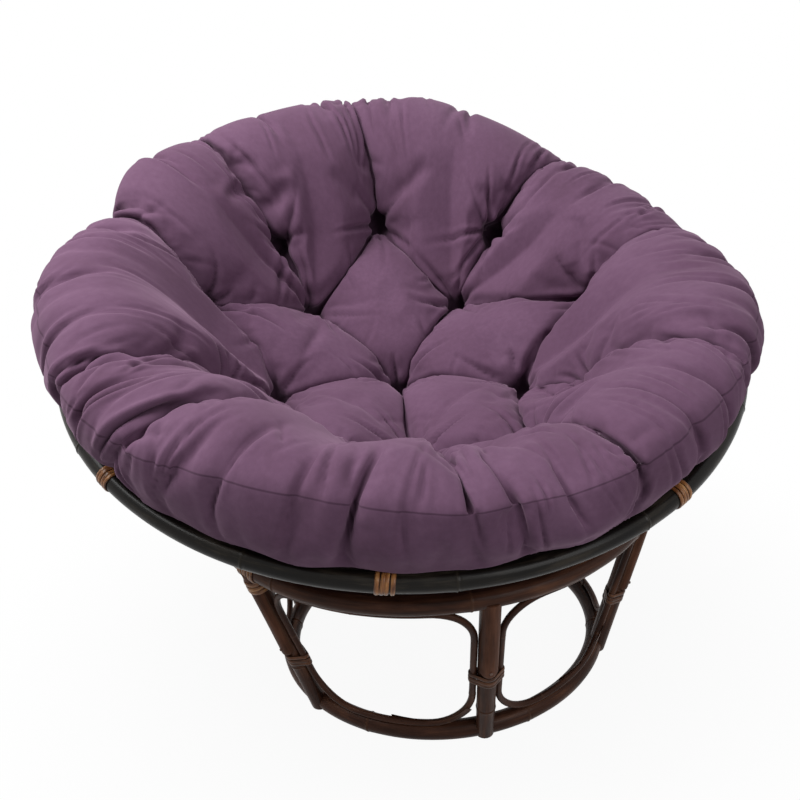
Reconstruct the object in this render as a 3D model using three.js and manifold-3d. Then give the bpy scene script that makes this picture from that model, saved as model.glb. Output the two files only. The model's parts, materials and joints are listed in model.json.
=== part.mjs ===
// Papasan chair: a tufted cushion in a loose rattan bowl, which lies on the top ring of a round rattan stand.
// Millimetres. +Z is up and the chair faces -Y. The origin is on the floor, under the middle of the whole chair.
// Azimuths are counted from the front (-Y) towards +X.
import * as THREE from 'three';
import { mergeGeometries, mergeVertices } from 'three/addons/utils/BufferGeometryUtils.js';
import Module from 'manifold-3d';

const wasm = await Module();
wasm.setup();

// Rattan poles, by the radius of their section
const ringPoleRadius = 14;
const legRadius = 13.5;
const ribRadius = 10;
const hoopPoleRadius = 9;
const loopPoleRadius = 5;

// Clearances between pieces that touch
const fitGap = 0.35;
const legToLoopGap = 0.5;

// Stand
const baseRingRadius = 257.8;
const topRingRadius = 337.8;
const topRingHeight = 289.7;
const legCount = 6;
const frontLegAzimuthDeg = -2.5;
const legProud = 6;
const legFootClearance = 2.5;
const legHornDrop = 5;
const splintWidth = 26;
const splintThickness = 12.4;
const splintSeatDepth = 9;
const splintEndRadius = 11;
const splintFootGap = 1.5;
const loopCornerRadius = 62;

// Height of each leg's binding as a share of the leg, from the front leg round towards +X
const legBindingRiseShares = [0.43, 0.36, 0.4, 0.42, 0.38, 0.37];

// Bowl: its ribs lie on a sphere about the point that the bowl tilts about
const rimRadius = 518;
const bowlDepth = 301;
const bowlTiltDeg = 19.5;
const ribCount = 8;
const firstRibAzimuthDeg = -17;
const midHoopRadius = 350;
const bottomHoopRadius = 120;
const ribTailLength = 22;

// Lashings of rattan peel
const rimPeelWidth = 6;
const legPeelWidth = 7;
const peelThickness = 2.4;
const peelGroove = 0.9;
const rimBindingTurns = 4;
const legBindingTurns = 3;
const ringWrapTurns = 6;
const headWrapTurns = 3;
const wrappedLegIndex = 5;

// Cushion
const cushionOverhang = 11;
const boxingHeight = 106;
const boxingBulge = 12;
const stitchedThickness = 90;
const lobeLoft = 54;

// Where the twine is sewn through: one tuft near the middle, five round it, and ten in an outer ring. Every
// other outer tuft stands behind an inner one.
const middleTuftAzimuthDeg = 176;
const middleTuftRadiusShare = 0.05;
const innerTuftAzimuthsDeg = [-11, 67, 138, 210, 271];
const innerTuftRadiusShares = [0.41, 0.39, 0.425, 0.445, 0.41];
const outerTuftAzimuthsDeg = [-10, 19, 46, 92, 134, 173, 209, 242, 290, 320];
const outerTuftRadiusShare = 0.655;

// How full the lobes are: the outer ones by their place after the front tuft, and the creases between lobes
const outerLobeFullnessShares = [1, 1, 1, 1, 1.15, 1.15, 0.85, 0.95, 1, 1];
const creaseFullnessShare = 0.3;
const boxingPinchShare = 0.8;
const lobeRoundingShare = 0.65;

// A crease runs from each outer tuft to the seam. It draws the seam in and down, by a share of creaseDraw.
const seamCreaseAzimuthsDeg = [-6, 18, 46, 91, 126, 175, 210, 237, 291, 320];
const creaseDrawShares = [0.3, 0.3, 0.3, 0.3, 0, -0.2, 0.3, 1.8, 0.3, 0.2];
const creaseDraw = 20;

// The whole seam leans to the sitter's right. At the sitter's left back it has slumped: the slump starts at the
// first azimuth, is full between the next two, and ends at the last.
const sideLean = 9;
const slumpDrop = 60;
const slumpDraw = 25;
const slumpAzimuthsDeg = [50, 104, 122, 162];

// How finely the round forms are faceted
const ringSides = 8;
const baseRingSteps = 48;
const topRingSteps = 60;
const rimSteps = 64;
const hoopSides = 8;
const midHoopSteps = 40;
const bottomHoopSteps = 24;
const legSides = 14;
const ribSides = 8;
const ribSteps = 12;
const loopSides = 6;
const loopSteps = 30;
const loopSideSteps = 4;
const bindingOutlinePoints = 14;
const creaseSteps = 4;
const cornerSteps = 5;
const halfRoundSteps = 8;

// Cuts run this far past what they cut
const overrun = 40;

const fullTurn = 2 * Math.PI;
const radians = THREE.MathUtils.degToRad;
const { smoothstep } = THREE.MathUtils;

const rattan = { color: 0x2e241e, roughness: 0.45, metalness: 0 };
const bareRattan = { color: 0x3b2a20, roughness: 0.5, metalness: 0 };
const peel = { color: 0x8a5a34, roughness: 0.6, metalness: 0 };
const darkPeel = { color: 0x3d2a20, roughness: 0.6, metalness: 0 };
const cotton = { color: 0x6d4a63, roughness: 0.95, metalness: 0 };

// Heights that follow: the base ring stands on a flat facet of its pole
const baseRingHeight = ringPoleRadius * Math.cos(Math.PI / ringSides);
const rimPlaneDepth = (rimRadius ** 2 - bowlDepth ** 2) / (2 * bowlDepth);
const ribSphereRadius = rimPlaneDepth + bowlDepth;
const seatReach = ribSphereRadius + ribRadius + fitGap + ringPoleRadius;
const seatAngle = Math.asin(topRingRadius / seatReach);
const tiltCentreHeight = topRingHeight + seatReach * Math.cos(seatAngle);
const hoopSphereRadius = ribSphereRadius - ribRadius - fitGap - hoopPoleRadius;

function atAzimuth(radius, azimuth, z) {
  return new THREE.Vector3(radius * Math.sin(azimuth), -radius * Math.cos(azimuth), z);
}

// Solid work: a geometry as a solid, cuts, joins and back
function toSolid(geometry) {
  const bare = geometry.clone();
  bare.deleteAttribute('normal');
  bare.deleteAttribute('uv');
  const merged = mergeVertices(bare);
  const vertProperties = new Float32Array(merged.attributes.position.array);
  const triVerts = new Uint32Array(merged.index.array);
  return new wasm.Manifold(new wasm.Mesh({ numProp: 3, vertProperties, triVerts }));
}

function toGeometry(solid) {
  const mesh = solid.getMesh();
  const geometry = new THREE.BufferGeometry();
  geometry.setAttribute('position', new THREE.BufferAttribute(mesh.vertProperties, 3));
  geometry.setIndex(new THREE.BufferAttribute(mesh.triVerts, 1));
  geometry.computeVertexNormals();
  return geometry;
}

function cut(geometry, cutters) {
  let solid = toSolid(geometry);
  for (const cutter of cutters) {
    solid = solid.subtract(toSolid(cutter));
  }
  return toGeometry(solid);
}

function join(a, b) {
  return toGeometry(toSolid(a).add(toSolid(b)));
}

function common(a, b) {
  return toGeometry(toSolid(a).intersect(toSolid(b)));
}

// A bent pole that closes to a ring about Z. One corner of its section points at sectionAngle.
function ringPole(ringRadius, poleRadius, sides, steps, sectionAngle) {
  const profile = [];
  for (let i = 0; i <= sides; i += 1) {
    const angle = sectionAngle + (fullTurn * (i % sides)) / sides;
    profile.push(new THREE.Vector2(ringRadius + poleRadius * Math.cos(angle), poleRadius * Math.sin(angle)));
  }
  return new THREE.LatheGeometry(profile, steps).rotateX(Math.PI / 2);
}

// A skin over rows of points. Every row has the same count; each end that is closed closes on its own middle.
function skinRows(rows, closedEnds = [0, 1]) {
  const count = rows[0].length;
  const positions = rows.flat().flatMap((p) => [p.x, p.y, p.z]);
  const faces = [];
  for (let row = 0; row + 1 < rows.length; row += 1) {
    for (let i = 0; i < count; i += 1) {
      const a = row * count + i;
      const b = row * count + ((i + 1) % count);
      faces.push(a, b, b + count, a, b + count, a + count);
    }
  }
  for (const end of closedEnds) {
    const row = end ? rows[rows.length - 1] : rows[0];
    const middle = row.reduce((sum, p) => sum.add(p), new THREE.Vector3()).divideScalar(count);
    const first = end * (rows.length - 1) * count;
    const tip = positions.length / 3;
    positions.push(middle.x, middle.y, middle.z);
    for (let i = 0; i < count; i += 1) {
      const next = (i + 1) % count;
      faces.push(tip, first + (end ? i : next), first + (end ? next : i));
    }
  }
  const geometry = new THREE.BufferGeometry();
  geometry.setAttribute('position', new THREE.Float32BufferAttribute(positions, 3));
  geometry.setIndex(faces);
  geometry.computeVertexNormals();
  return geometry;
}

// Outline drawn tight round several circles in a plane, each given as { x, y, radius }
function tightOutline(circles, points) {
  const outline = [];
  for (let i = 0; i < points; i += 1) {
    const angle = (fullTurn * i) / points;
    const towards = new THREE.Vector2(Math.cos(angle), Math.sin(angle));
    const reach = (c) => c.x * towards.x + c.y * towards.y + c.radius;
    const furthest = circles.reduce((best, c) => (reach(c) > reach(best) ? c : best));
    outline.push(towards.multiplyScalar(furthest.radius).add(furthest));
  }
  return outline;
}

// Rows of a lashing along its length: each turn of peel is a ridge between two grooves
function lashingRows(turns, peelWidth, makeRow) {
  const rows = [];
  const length = turns * peelWidth;
  for (let i = 0; i <= 2 * turns; i += 1) {
    const thickness = i % 2 ? peelThickness : peelThickness - peelGroove;
    rows.push(makeRow((length * i) / (2 * turns) - length / 2, thickness));
  }
  return rows;
}

// A lashing round a stretch of a ring pole, centred on azimuth 0
function ringLashing(ringRadius, turns, sectionAngle) {
  const rows = lashingRows(turns, rimPeelWidth, (along, thickness) => {
    const row = [];
    for (let i = 0; i < ringSides; i += 1) {
      const angle = sectionAngle + (fullTurn * i) / ringSides;
      const reach = ringPoleRadius + thickness;
      const radius = ringRadius + reach * Math.cos(angle);
      row.push(atAzimuth(radius, along / ringRadius, reach * Math.sin(angle)));
    }
    return row;
  });
  return skinRows(rows.reverse());
}

// A leg leans outwards. In its own frame its axis is Z, and the outside of the stand is -Y.
const legFoot = atAzimuth(baseRingRadius + legProud, 0, baseRingHeight);
const legHead = atAzimuth(topRingRadius, 0, topRingHeight);
const legLength = legFoot.distanceTo(legHead);
const legUp = legHead.clone().sub(legFoot).normalize();
const legAcross = new THREE.Vector3(1, 0, 0);
const legInwards = legUp.clone().cross(legAcross);
const legFrame = new THREE.Matrix4().makeBasis(legAcross, legInwards, legUp).setPosition(legFoot);
const flatOffset = legRadius - splintSeatDepth;

// Sections are turned so that the base ring stands on a flat, and a corner of the others meets what they carry
const baseSectionAngle = Math.PI / ringSides - Math.PI / 2;
const seatSectionAngle = Math.PI / 2 + seatAngle;
const rimSectionAngle = Math.PI / 2;

function fattenedBaseRing() {
  return ringPole(baseRingRadius, ringPoleRadius + fitGap, ringSides, baseRingSteps, baseSectionAngle)
    .translate(0, 0, baseRingHeight);
}

function fattenedTopRing() {
  return ringPole(topRingRadius, ringPoleRadius + fitGap, ringSides, topRingSteps, seatSectionAngle)
    .translate(0, 0, topRingHeight);
}

// Everything above a height, and everything below one, near a leg
function blockAbove(height) {
  const size = 2 * topRingRadius;
  return new THREE.BoxGeometry(size, 2 * size, size).translate(0, 0, height + size / 2);
}

function blockBelow(height) {
  const size = 2 * topRingRadius;
  return new THREE.BoxGeometry(size, 2 * size, size).translate(0, 0, height - size / 2);
}

// What a leg's foot would leave on the inner side of the base ring
function insideBaseRing() {
  const height = baseRingHeight + overrun;
  return new THREE.CylinderGeometry(baseRingRadius, baseRingRadius, height, baseRingSteps)
    .rotateX(Math.PI / 2)
    .translate(0, 0, baseRingHeight - height / 2);
}

function legRod(radius) {
  const length = legLength + 2 * overrun;
  return new THREE.CylinderGeometry(radius, radius, length, legSides)
    .rotateX(Math.PI / 2)
    .translate(0, 0, legLength / 2)
    .applyMatrix4(legFrame);
}

function bindingRise(leg) {
  return legLength * legBindingRiseShares[leg];
}

function splintFootRise(leg) {
  return bindingRise(leg) + (legBindingTurns * legPeelWidth) / 2 + splintFootGap;
}

function legGeometry(leg) {
  const flatLength = legLength + overrun - splintFootRise(leg);
  const flat = new THREE.BoxGeometry(2 * splintWidth, overrun, flatLength)
    .translate(0, -flatOffset - overrun / 2, splintFootRise(leg) + flatLength / 2)
    .applyMatrix4(legFrame);
  return cut(legRod(legRadius), [
    fattenedBaseRing(),
    fattenedTopRing(),
    blockAbove(topRingHeight - legHornDrop),
    blockBelow(legFootClearance),
    insideBaseRing(),
    flat,
  ]);
}

// Half-round section of the splint: a chord on the leg's flat and an arc outside it
function splintArcRadius() {
  return ((splintWidth / 2) ** 2 + splintThickness ** 2) / (2 * splintThickness);
}

function splintBlank(leg, grow) {
  const arcRadius = splintArcRadius() + grow;
  const backY = -flatOffset - fitGap + grow;
  const centreY = -flatOffset - fitGap - splintThickness + splintArcRadius();
  const halfAngle = Math.acos(Math.min(1, (backY - centreY) / arcRadius));
  const section = new THREE.Shape();
  for (let i = 0; i <= halfRoundSteps; i += 1) {
    const angle = halfAngle + ((fullTurn - 2 * halfAngle) * i) / halfRoundSteps;
    const x = arcRadius * Math.sin(angle);
    const y = centreY + arcRadius * Math.cos(angle);
    if (i === 0) section.moveTo(x, y);
    else section.lineTo(x, y);
  }
  const foot = splintFootRise(leg);
  const length = legLength + overrun - foot;
  const bar = new THREE.ExtrudeGeometry(section, { depth: length, bevelEnabled: false }).translate(0, 0, foot);
  const half = splintWidth / 2 + grow;
  const corner = splintEndRadius;
  const outline = new THREE.Shape();
  outline.moveTo(half, foot + length + overrun);
  outline.lineTo(-half, foot + length + overrun);
  outline.lineTo(-half, foot + corner);
  outline.absarc(-half + corner, foot + corner, corner, Math.PI, 1.5 * Math.PI, false);
  outline.absarc(half - corner, foot + corner, corner, 1.5 * Math.PI, fullTurn, false);
  const plate = new THREE.ExtrudeGeometry(outline, {
    depth: 2 * overrun, bevelEnabled: false, curveSegments: cornerSteps,
  }).rotateX(Math.PI / 2).translate(0, overrun, 0);
  return common(bar, plate).applyMatrix4(legFrame);
}

function splintGeometry(leg) {
  return cut(splintBlank(leg, 0), [fattenedTopRing(), blockAbove(topRingHeight - legHornDrop)]);
}

// Window loops lie on the cone between the two rings. Their sides run along the legs.
const coneRun = topRingRadius - baseRingRadius;
const coneRise = topRingHeight - baseRingHeight;
const coneLength = Math.hypot(coneRun, coneRise);
const loopEndSetback = ringPoleRadius + loopPoleRadius + fitGap;

function loopPoint(side, rise) {
  const radius = baseRingRadius + (coneRun * rise) / coneLength;
  return atAzimuth(radius, side / radius, baseRingHeight + (coneRise * rise) / coneLength);
}

function loopHalfWidth(rise) {
  const radius = baseRingRadius + (coneRun * rise) / coneLength;
  const sideways = legRadius + loopPoleRadius + legToLoopGap;
  return radius * (Math.PI / legCount - Math.asin(sideways / radius));
}

function loopCurve() {
  const low = loopEndSetback;
  const high = coneLength - loopEndSetback;
  const corner = loopCornerRadius;
  const right = [];
  for (let i = 0; i <= cornerSteps; i += 1) {
    const angle = (Math.PI / 2) * (i / cornerSteps);
    right.push([corner * (1 - Math.sin(angle)), low + corner * (1 - Math.cos(angle))]);
  }
  for (let i = 1; i < loopSideSteps; i += 1) {
    right.push([0, low + corner + ((high - low - 2 * corner) * i) / loopSideSteps]);
  }
  for (let i = cornerSteps; i >= 0; i -= 1) {
    const angle = (Math.PI / 2) * (i / cornerSteps);
    right.push([corner * (1 - Math.sin(angle)), high - corner * (1 - Math.cos(angle))]);
  }
  const points = [
    loopPoint(0, low),
    ...right.map(([inset, rise]) => loopPoint(loopHalfWidth(rise) - inset, rise)),
    loopPoint(0, high),
    ...right.reverse().map(([inset, rise]) => loopPoint(inset - loopHalfWidth(rise), rise)),
  ];
  return new THREE.CatmullRomCurve3(points, true);
}

function loopGeometry(radius) {
  return new THREE.TubeGeometry(loopCurve(), loopSteps, radius, loopSides, true);
}

// Outline of a binding at one height: tight round the leg and the two loops beside it
function bindingRow(rise, thickness) {
  const intoLegFrame = legFrame.clone().invert();
  const side = loopPoint(-loopHalfWidth(rise), rise)
    .applyAxisAngle(new THREE.Vector3(0, 0, 1), Math.PI / legCount)
    .applyMatrix4(intoLegFrame);
  const circles = [
    { x: 0, y: 0, radius: legRadius + thickness },
    { x: side.x, y: side.y, radius: loopPoleRadius + thickness },
    { x: -side.x, y: side.y, radius: loopPoleRadius + thickness },
  ];
  return tightOutline(circles, bindingOutlinePoints).map((p) => new THREE.Vector3(p.x, p.y, rise));
}

function legBindingGeometry(leg) {
  const rise = bindingRise(leg);
  const reach = legBindingTurns * legPeelWidth;
  const sleeve = skinRows(lashingRows(legBindingTurns, legPeelWidth, (along, thickness) => (
    bindingRow(rise + along, thickness)
  )));
  const bore = skinRows([bindingRow(rise - reach, fitGap), bindingRow(rise + reach, fitGap)]);
  return cut(sleeve.applyMatrix4(legFrame), [bore.applyMatrix4(legFrame), legRod(legRadius + fitGap)]);
}

// Peel round the joint of the top ring and one leg: turns on the ring, and more on the head of the leg
function ringWrapGeometry(leg) {
  const onRing = ringLashing(topRingRadius, ringWrapTurns, seatSectionAngle).translate(0, 0, topRingHeight);
  const headRise = legLength - ringPoleRadius - (headWrapTurns * legPeelWidth) / 2;
  const rows = lashingRows(headWrapTurns, legPeelWidth, (along, thickness) => {
    const splintY = -flatOffset - fitGap - splintThickness + splintArcRadius();
    const circles = [
      { x: 0, y: 0, radius: legRadius + thickness },
      { x: 0, y: splintY, radius: splintArcRadius() + thickness },
    ];
    return tightOutline(circles, bindingOutlinePoints).map((p) => new THREE.Vector3(p.x, p.y, headRise + along));
  });
  const onLeg = skinRows(rows).applyMatrix4(legFrame);
  return cut(join(onRing, onLeg), [
    fattenedTopRing(),
    legRod(legRadius + fitGap),
    splintBlank(leg, fitGap),
  ]);
}

// Bowl pieces are made about the tilt centre, with the bowl's axis along Z
function ribArc(fromPolar, toPolar) {
  const arc = new THREE.Curve();
  arc.getPoint = (t, target = new THREE.Vector3()) => {
    const polar = fromPolar + (toPolar - fromPolar) * t;
    const point = atAzimuth(ribSphereRadius * Math.sin(polar), 0, -ribSphereRadius * Math.cos(polar));
    return target.copy(point);
  };
  return arc;
}

function ribTube(radius) {
  const section = new THREE.Shape();
  for (let i = 0; i < ribSides; i += 1) {
    const angle = (fullTurn * i) / ribSides;
    if (i === 0) section.moveTo(radius * Math.cos(angle), radius * Math.sin(angle));
    else section.lineTo(radius * Math.cos(angle), radius * Math.sin(angle));
  }
  const tailPolar = Math.asin(bottomHoopRadius / hoopSphereRadius) - ribTailLength / ribSphereRadius;
  const rimPolar = Math.asin(rimRadius / ribSphereRadius);
  return new THREE.ExtrudeGeometry(section, {
    steps: ribSteps, bevelEnabled: false, extrudePath: ribArc(tailPolar, rimPolar),
  });
}

function rimRing(poleRadius) {
  return ringPole(rimRadius, poleRadius, ringSides, rimSteps, rimSectionAngle).translate(0, 0, -rimPlaneDepth);
}

function ribGeometry() {
  return cut(ribTube(ribRadius), [rimRing(ringPoleRadius + fitGap)]);
}

function hoopGeometry(radius, steps) {
  const height = -Math.sqrt(hoopSphereRadius ** 2 - radius ** 2);
  return ringPole(radius, hoopPoleRadius, hoopSides, steps, 0).translate(0, 0, height);
}

function rimBindingGeometry() {
  const sleeve = ringLashing(rimRadius, rimBindingTurns, rimSectionAngle).translate(0, 0, -rimPlaneDepth);
  return cut(sleeve, [rimRing(ringPoleRadius + fitGap), ribTube(ribRadius + fitGap)]);
}

// Cushion. Places on it are flat points, which become heights over the rim of the bowl.
const cushionEdgeRadius = rimRadius + cushionOverhang;
const cushionBedRadius = hoopSphereRadius - hoopPoleRadius - fitGap;
const tuftSphereRadius = cushionBedRadius - stitchedThickness;
const outerTuftRadius = outerTuftRadiusShare * cushionEdgeRadius;
const rimTop = ringPoleRadius + peelThickness + fitGap;
const seamHeight = rimTop + boxingHeight;
const shoulderWidth = cushionEdgeRadius - outerTuftRadius;
const shoulderRise = seamHeight - sphereHeight(outerTuftRadius, tuftSphereRadius);

// Rows of the skin, from the middle underneath to the outer tufts
const bedStartShare = 0.04;
const bedEndShare = 0.905;
const rimShoulderShare = 0.7;
const boxingRowShares = [0, 0.5];
const lobeRowShares = [1, 0.93, 0.84, 0.72, 0.56, 0.38, 0.19, 0];

function sphereHeight(radius, sphereRadius) {
  return rimPlaneDepth - Math.sqrt(sphereRadius ** 2 - radius ** 2);
}

function tuftAt(azimuthDeg, radiusShare) {
  return atAzimuth(radiusShare * cushionEdgeRadius, radians(azimuthDeg), 0);
}

const middleTuft = tuftAt(middleTuftAzimuthDeg, middleTuftRadiusShare);
const innerTufts = innerTuftAzimuthsDeg.map((azimuth, i) => tuftAt(azimuth, innerTuftRadiusShares[i]));
const outerTufts = outerTuftAzimuthsDeg.map((azimuth) => tuftAt(azimuth, outerTuftRadiusShare));

// Lifts a flat point to where the stitching would leave the top, and from there by a share of the loft, square
// to the surface. Inside the outer tufts the surface is a sphere; outside them it rises to the seam.
function onTop(flat, fullness) {
  const radius = flat.length();
  let height = sphereHeight(Math.min(radius, outerTuftRadius), tuftSphereRadius);
  let slope = radius / (rimPlaneDepth - height);
  if (radius > outerTuftRadius) {
    const angle = (Math.PI / 2) * ((radius - outerTuftRadius) / shoulderWidth);
    height += shoulderRise * Math.sin(angle);
    slope = (Math.PI / 2) * (shoulderRise / shoulderWidth) * Math.cos(angle);
  }
  const lift = (lobeLoft * fullness) / Math.hypot(1, slope);
  return flat.clone().setLength(radius - lift * slope).setZ(height + lift - rimPlaneDepth);
}

// Fullness of a lobe: nothing at its tufts, a little along its creases, and most in its middle
function innerLobeFullness(u, v) {
  const across = Math.sin(Math.PI * u);
  const along = Math.sin(Math.PI * v);
  const crease = across * Math.cos(Math.PI * v) ** 2 + along * Math.cos(Math.PI * u) ** 2;
  return creaseFullnessShare * crease + Math.max(0, across * along) ** lobeRoundingShare;
}

function outerLobeFullness(lobe, u, v) {
  const across = Math.sin(Math.PI * u);
  const along = Math.sin(Math.PI * v);
  const twoCreases = Math.abs(Math.sin(2 * Math.PI * u)) * Math.cos((Math.PI / 2) * v) ** 2;
  const crease = twoCreases + along * Math.cos(Math.PI * u) ** 2;
  const belly = Math.max(0, across * along) ** lobeRoundingShare;
  return creaseFullnessShare * crease + outerLobeFullnessShares[lobe] * belly;
}

// Draws a point of the cushion in and down. All of that is felt at the seam (a rise of 1), and nothing at the
// outer tufts and at the lower seam (a rise of 0).
function slumped(point, azimuth, crease, rise) {
  const turnDeg = THREE.MathUtils.euclideanModulo(THREE.MathUtils.radToDeg(azimuth), 360);
  const [start, full, fading, end] = slumpAzimuthsDeg;
  const slump = smoothstep(turnDeg, start, full) * (1 - smoothstep(turnDeg, fading, end));
  const drawn = Math.hypot(point.x, point.y) - (slumpDraw * slump + creaseDraw * crease) * rise;
  const height = point.z - (slumpDrop * slump + creaseDraw * crease) * rise;
  const moved = point.clone().setZ(0).setLength(drawn).setZ(height);
  return moved.setX(moved.x - sideLean * rise);
}

// How much of the crease beside it reaches a place across an outer lobe
function creaseReach(lobe, u) {
  const tuft = u < 0.5 ? lobe : (lobe + 1) % outerTufts.length;
  return creaseDrawShares[tuft] * (1 - Math.sin(Math.PI * u));
}

// An outer lobe lies between two outer tufts. It runs from the inner tuft between them out to the seam.
function outerLobePoint(lobe, u, v) {
  const next = (lobe + 1) % outerTufts.length;
  const inner = innerTufts[Math.ceil(lobe / 2) % innerTufts.length];
  const [from, to] = u < 0.5 ? [outerTufts[lobe], inner] : [inner, outerTufts[next]];
  const crease = from.clone().lerp(to, (2 * u) % 1);
  const flat = crease.lerp(edgeAt(lobe, u, cushionEdgeRadius), v);
  const rise = smoothstep(flat.length(), outerTuftRadius, cushionEdgeRadius);
  const lifted = onTop(flat, outerLobeFullness(lobe, u, v));
  return slumped(lifted, Math.atan2(flat.x, -flat.y), creaseReach(lobe, u), rise);
}

function edgeAt(lobe, u, radius) {
  const from = radians(seamCreaseAzimuthsDeg[lobe]);
  const to = radians(seamCreaseAzimuthsDeg[(lobe + 1) % seamCreaseAzimuthsDeg.length]);
  const span = (to - from + fullTurn) % fullTurn;
  return atAzimuth(radius, from + span * u, 0);
}

// A ring of points round the cushion, creaseSteps from each crease to the middle of each lobe
function cushionRing(pointAt) {
  const ring = [];
  outerTufts.forEach((tuft, lobe) => {
    for (let i = 0; i < 2 * creaseSteps; i += 1) {
      ring.push(pointAt(lobe, i / (2 * creaseSteps)));
    }
  });
  return ring;
}

function underRing(radius, height) {
  return cushionRing((lobe, u) => edgeAt(lobe, u, radius).setZ(height - rimPlaneDepth));
}

function boxingRing(share) {
  return cushionRing((lobe, u) => {
    const bulge = boxingBulge * Math.sin(Math.PI * share) * (1 - boxingPinchShare * (1 - Math.sin(Math.PI * u)));
    const point = edgeAt(lobe, u, cushionEdgeRadius + bulge).setZ(rimTop + boxingHeight * share - rimPlaneDepth);
    return slumped(point, Math.atan2(point.x, -point.y), creaseReach(lobe, u), share);
  });
}

// An inner lobe is a diamond: the middle tuft, two inner ones, and the outer one between them
function innerLobeGeometry(lobe) {
  const left = innerTufts[lobe];
  const right = innerTufts[(lobe + 1) % innerTufts.length];
  const rows = [];
  for (let i = 0; i <= creaseSteps; i += 1) {
    const u = i / creaseSteps;
    const near = middleTuft.clone().lerp(right, u);
    const far = left.clone().lerp(outerTufts[2 * lobe + 1], u);
    const row = [];
    for (let k = 0; k <= creaseSteps; k += 1) {
      const v = k / creaseSteps;
      row.push(onTop(near.clone().lerp(far, v), innerLobeFullness(u, v)));
    }
    rows.push(row);
  }
  const positions = rows.flat().flatMap((p) => [p.x, p.y, p.z]);
  const faces = [];
  const count = creaseSteps + 1;
  for (let i = 0; i < creaseSteps; i += 1) {
    for (let k = 0; k < creaseSteps; k += 1) {
      const a = i * count + k;
      faces.push(a, a + 1, a + count + 1, a, a + count + 1, a + count);
    }
  }
  const geometry = new THREE.BufferGeometry();
  geometry.setAttribute('position', new THREE.Float32BufferAttribute(positions, 3));
  geometry.setIndex(faces);
  return geometry;
}

function cushionGeometry() {
  const bedStart = bedStartShare * cushionEdgeRadius;
  const bedEnd = bedEndShare * cushionEdgeRadius;
  const bedRadii = [bedStart, bottomHoopRadius, midHoopRadius, bedEnd];
  const rings = [
    ...bedRadii.map((radius) => underRing(radius, sphereHeight(radius, cushionBedRadius))),
    underRing(rimRadius - rimShoulderShare * ringPoleRadius, rimTop),
    ...boxingRowShares.map(boxingRing),
    ...lobeRowShares.map((v) => cushionRing((lobe, u) => outerLobePoint(lobe, u, v))),
  ];
  const skin = skinRows(rings, [0]).deleteAttribute('normal');
  const lobes = innerTufts.map((tuft, lobe) => innerLobeGeometry(lobe));
  const cushion = mergeVertices(mergeGeometries([skin, ...lobes]));
  cushion.computeVertexNormals();
  return cushion;
}

// Assembly
function addPiece(parent, name, geometry, finish, turn = 0) {
  const mesh = new THREE.Mesh(geometry, new THREE.MeshStandardMaterial(finish));
  mesh.name = name;
  mesh.rotation.z = turn;
  parent.add(mesh);
}

function makeStand() {
  const stand = new THREE.Group();
  const baseRing = ringPole(baseRingRadius, ringPoleRadius, ringSides, baseRingSteps, baseSectionAngle);
  const topRing = ringPole(topRingRadius, ringPoleRadius, ringSides, topRingSteps, seatSectionAngle);
  addPiece(stand, 'base_ring', baseRing.translate(0, 0, baseRingHeight), rattan);
  addPiece(stand, 'top_ring', topRing.translate(0, 0, topRingHeight), rattan);
  for (let leg = 0; leg < legCount; leg += 1) {
    const turn = (fullTurn * leg) / legCount;
    addPiece(stand, `leg_${leg + 1}`, legGeometry(leg), rattan, turn);
    addPiece(stand, `leg_splint_${leg + 1}`, splintGeometry(leg), bareRattan, turn);
    addPiece(stand, `window_loop_${leg + 1}`, loopGeometry(loopPoleRadius), rattan, turn + Math.PI / legCount);
    addPiece(stand, `leg_binding_${leg + 1}`, legBindingGeometry(leg), darkPeel, turn);
  }
  addPiece(stand, 'top_ring_wrap', ringWrapGeometry(wrappedLegIndex), peel, (fullTurn * wrappedLegIndex) / legCount);
  stand.rotation.z = radians(frontLegAzimuthDeg);
  return stand;
}

function makeBowl() {
  const bowl = new THREE.Group();
  addPiece(bowl, 'rim_ring', rimRing(ringPoleRadius), rattan);
  addPiece(bowl, 'mid_hoop', hoopGeometry(midHoopRadius, midHoopSteps), rattan);
  addPiece(bowl, 'bottom_hoop', hoopGeometry(bottomHoopRadius, bottomHoopSteps), rattan);
  for (let rib = 0; rib < ribCount; rib += 1) {
    const turn = (fullTurn * rib) / ribCount;
    addPiece(bowl, `rib_${rib + 1}`, ribGeometry(), rattan, turn);
    addPiece(bowl, `rim_binding_${rib + 1}`, rimBindingGeometry(), peel, turn);
  }
  bowl.rotation.z = radians(firstRibAzimuthDeg);
  return bowl;
}

// The bowl and the cushion lean forwards together about the tilt centre
const leaning = new THREE.Group();
leaning.rotation.x = radians(bowlTiltDeg);
leaning.position.z = tiltCentreHeight;
leaning.add(makeBowl());
addPiece(leaning, 'cushion', cushionGeometry(), cotton);

const chair = new THREE.Group();
chair.add(makeStand(), leaning);
chair.updateMatrixWorld(true);
const extent = new THREE.Box3().setFromObject(chair, true).getCenter(new THREE.Vector3());
chair.position.set(-extent.x, -extent.y, 0);

export default chair;
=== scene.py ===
# %% [markdown]
# # A papasan chair
# A thick tufted cushion lies in a shallow bowl of bent rattan poles, and the bowl lies loose on a round rattan
# stand. The solid parts of the chair are loaded first. They say where every joint is, so the fine poles, lashings
# and cloth below are built on the same centre lines and ride on the same bodies.

import json
import math

import bmesh
import bpy
import numpy as np
from mathutils import Matrix, Vector


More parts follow.
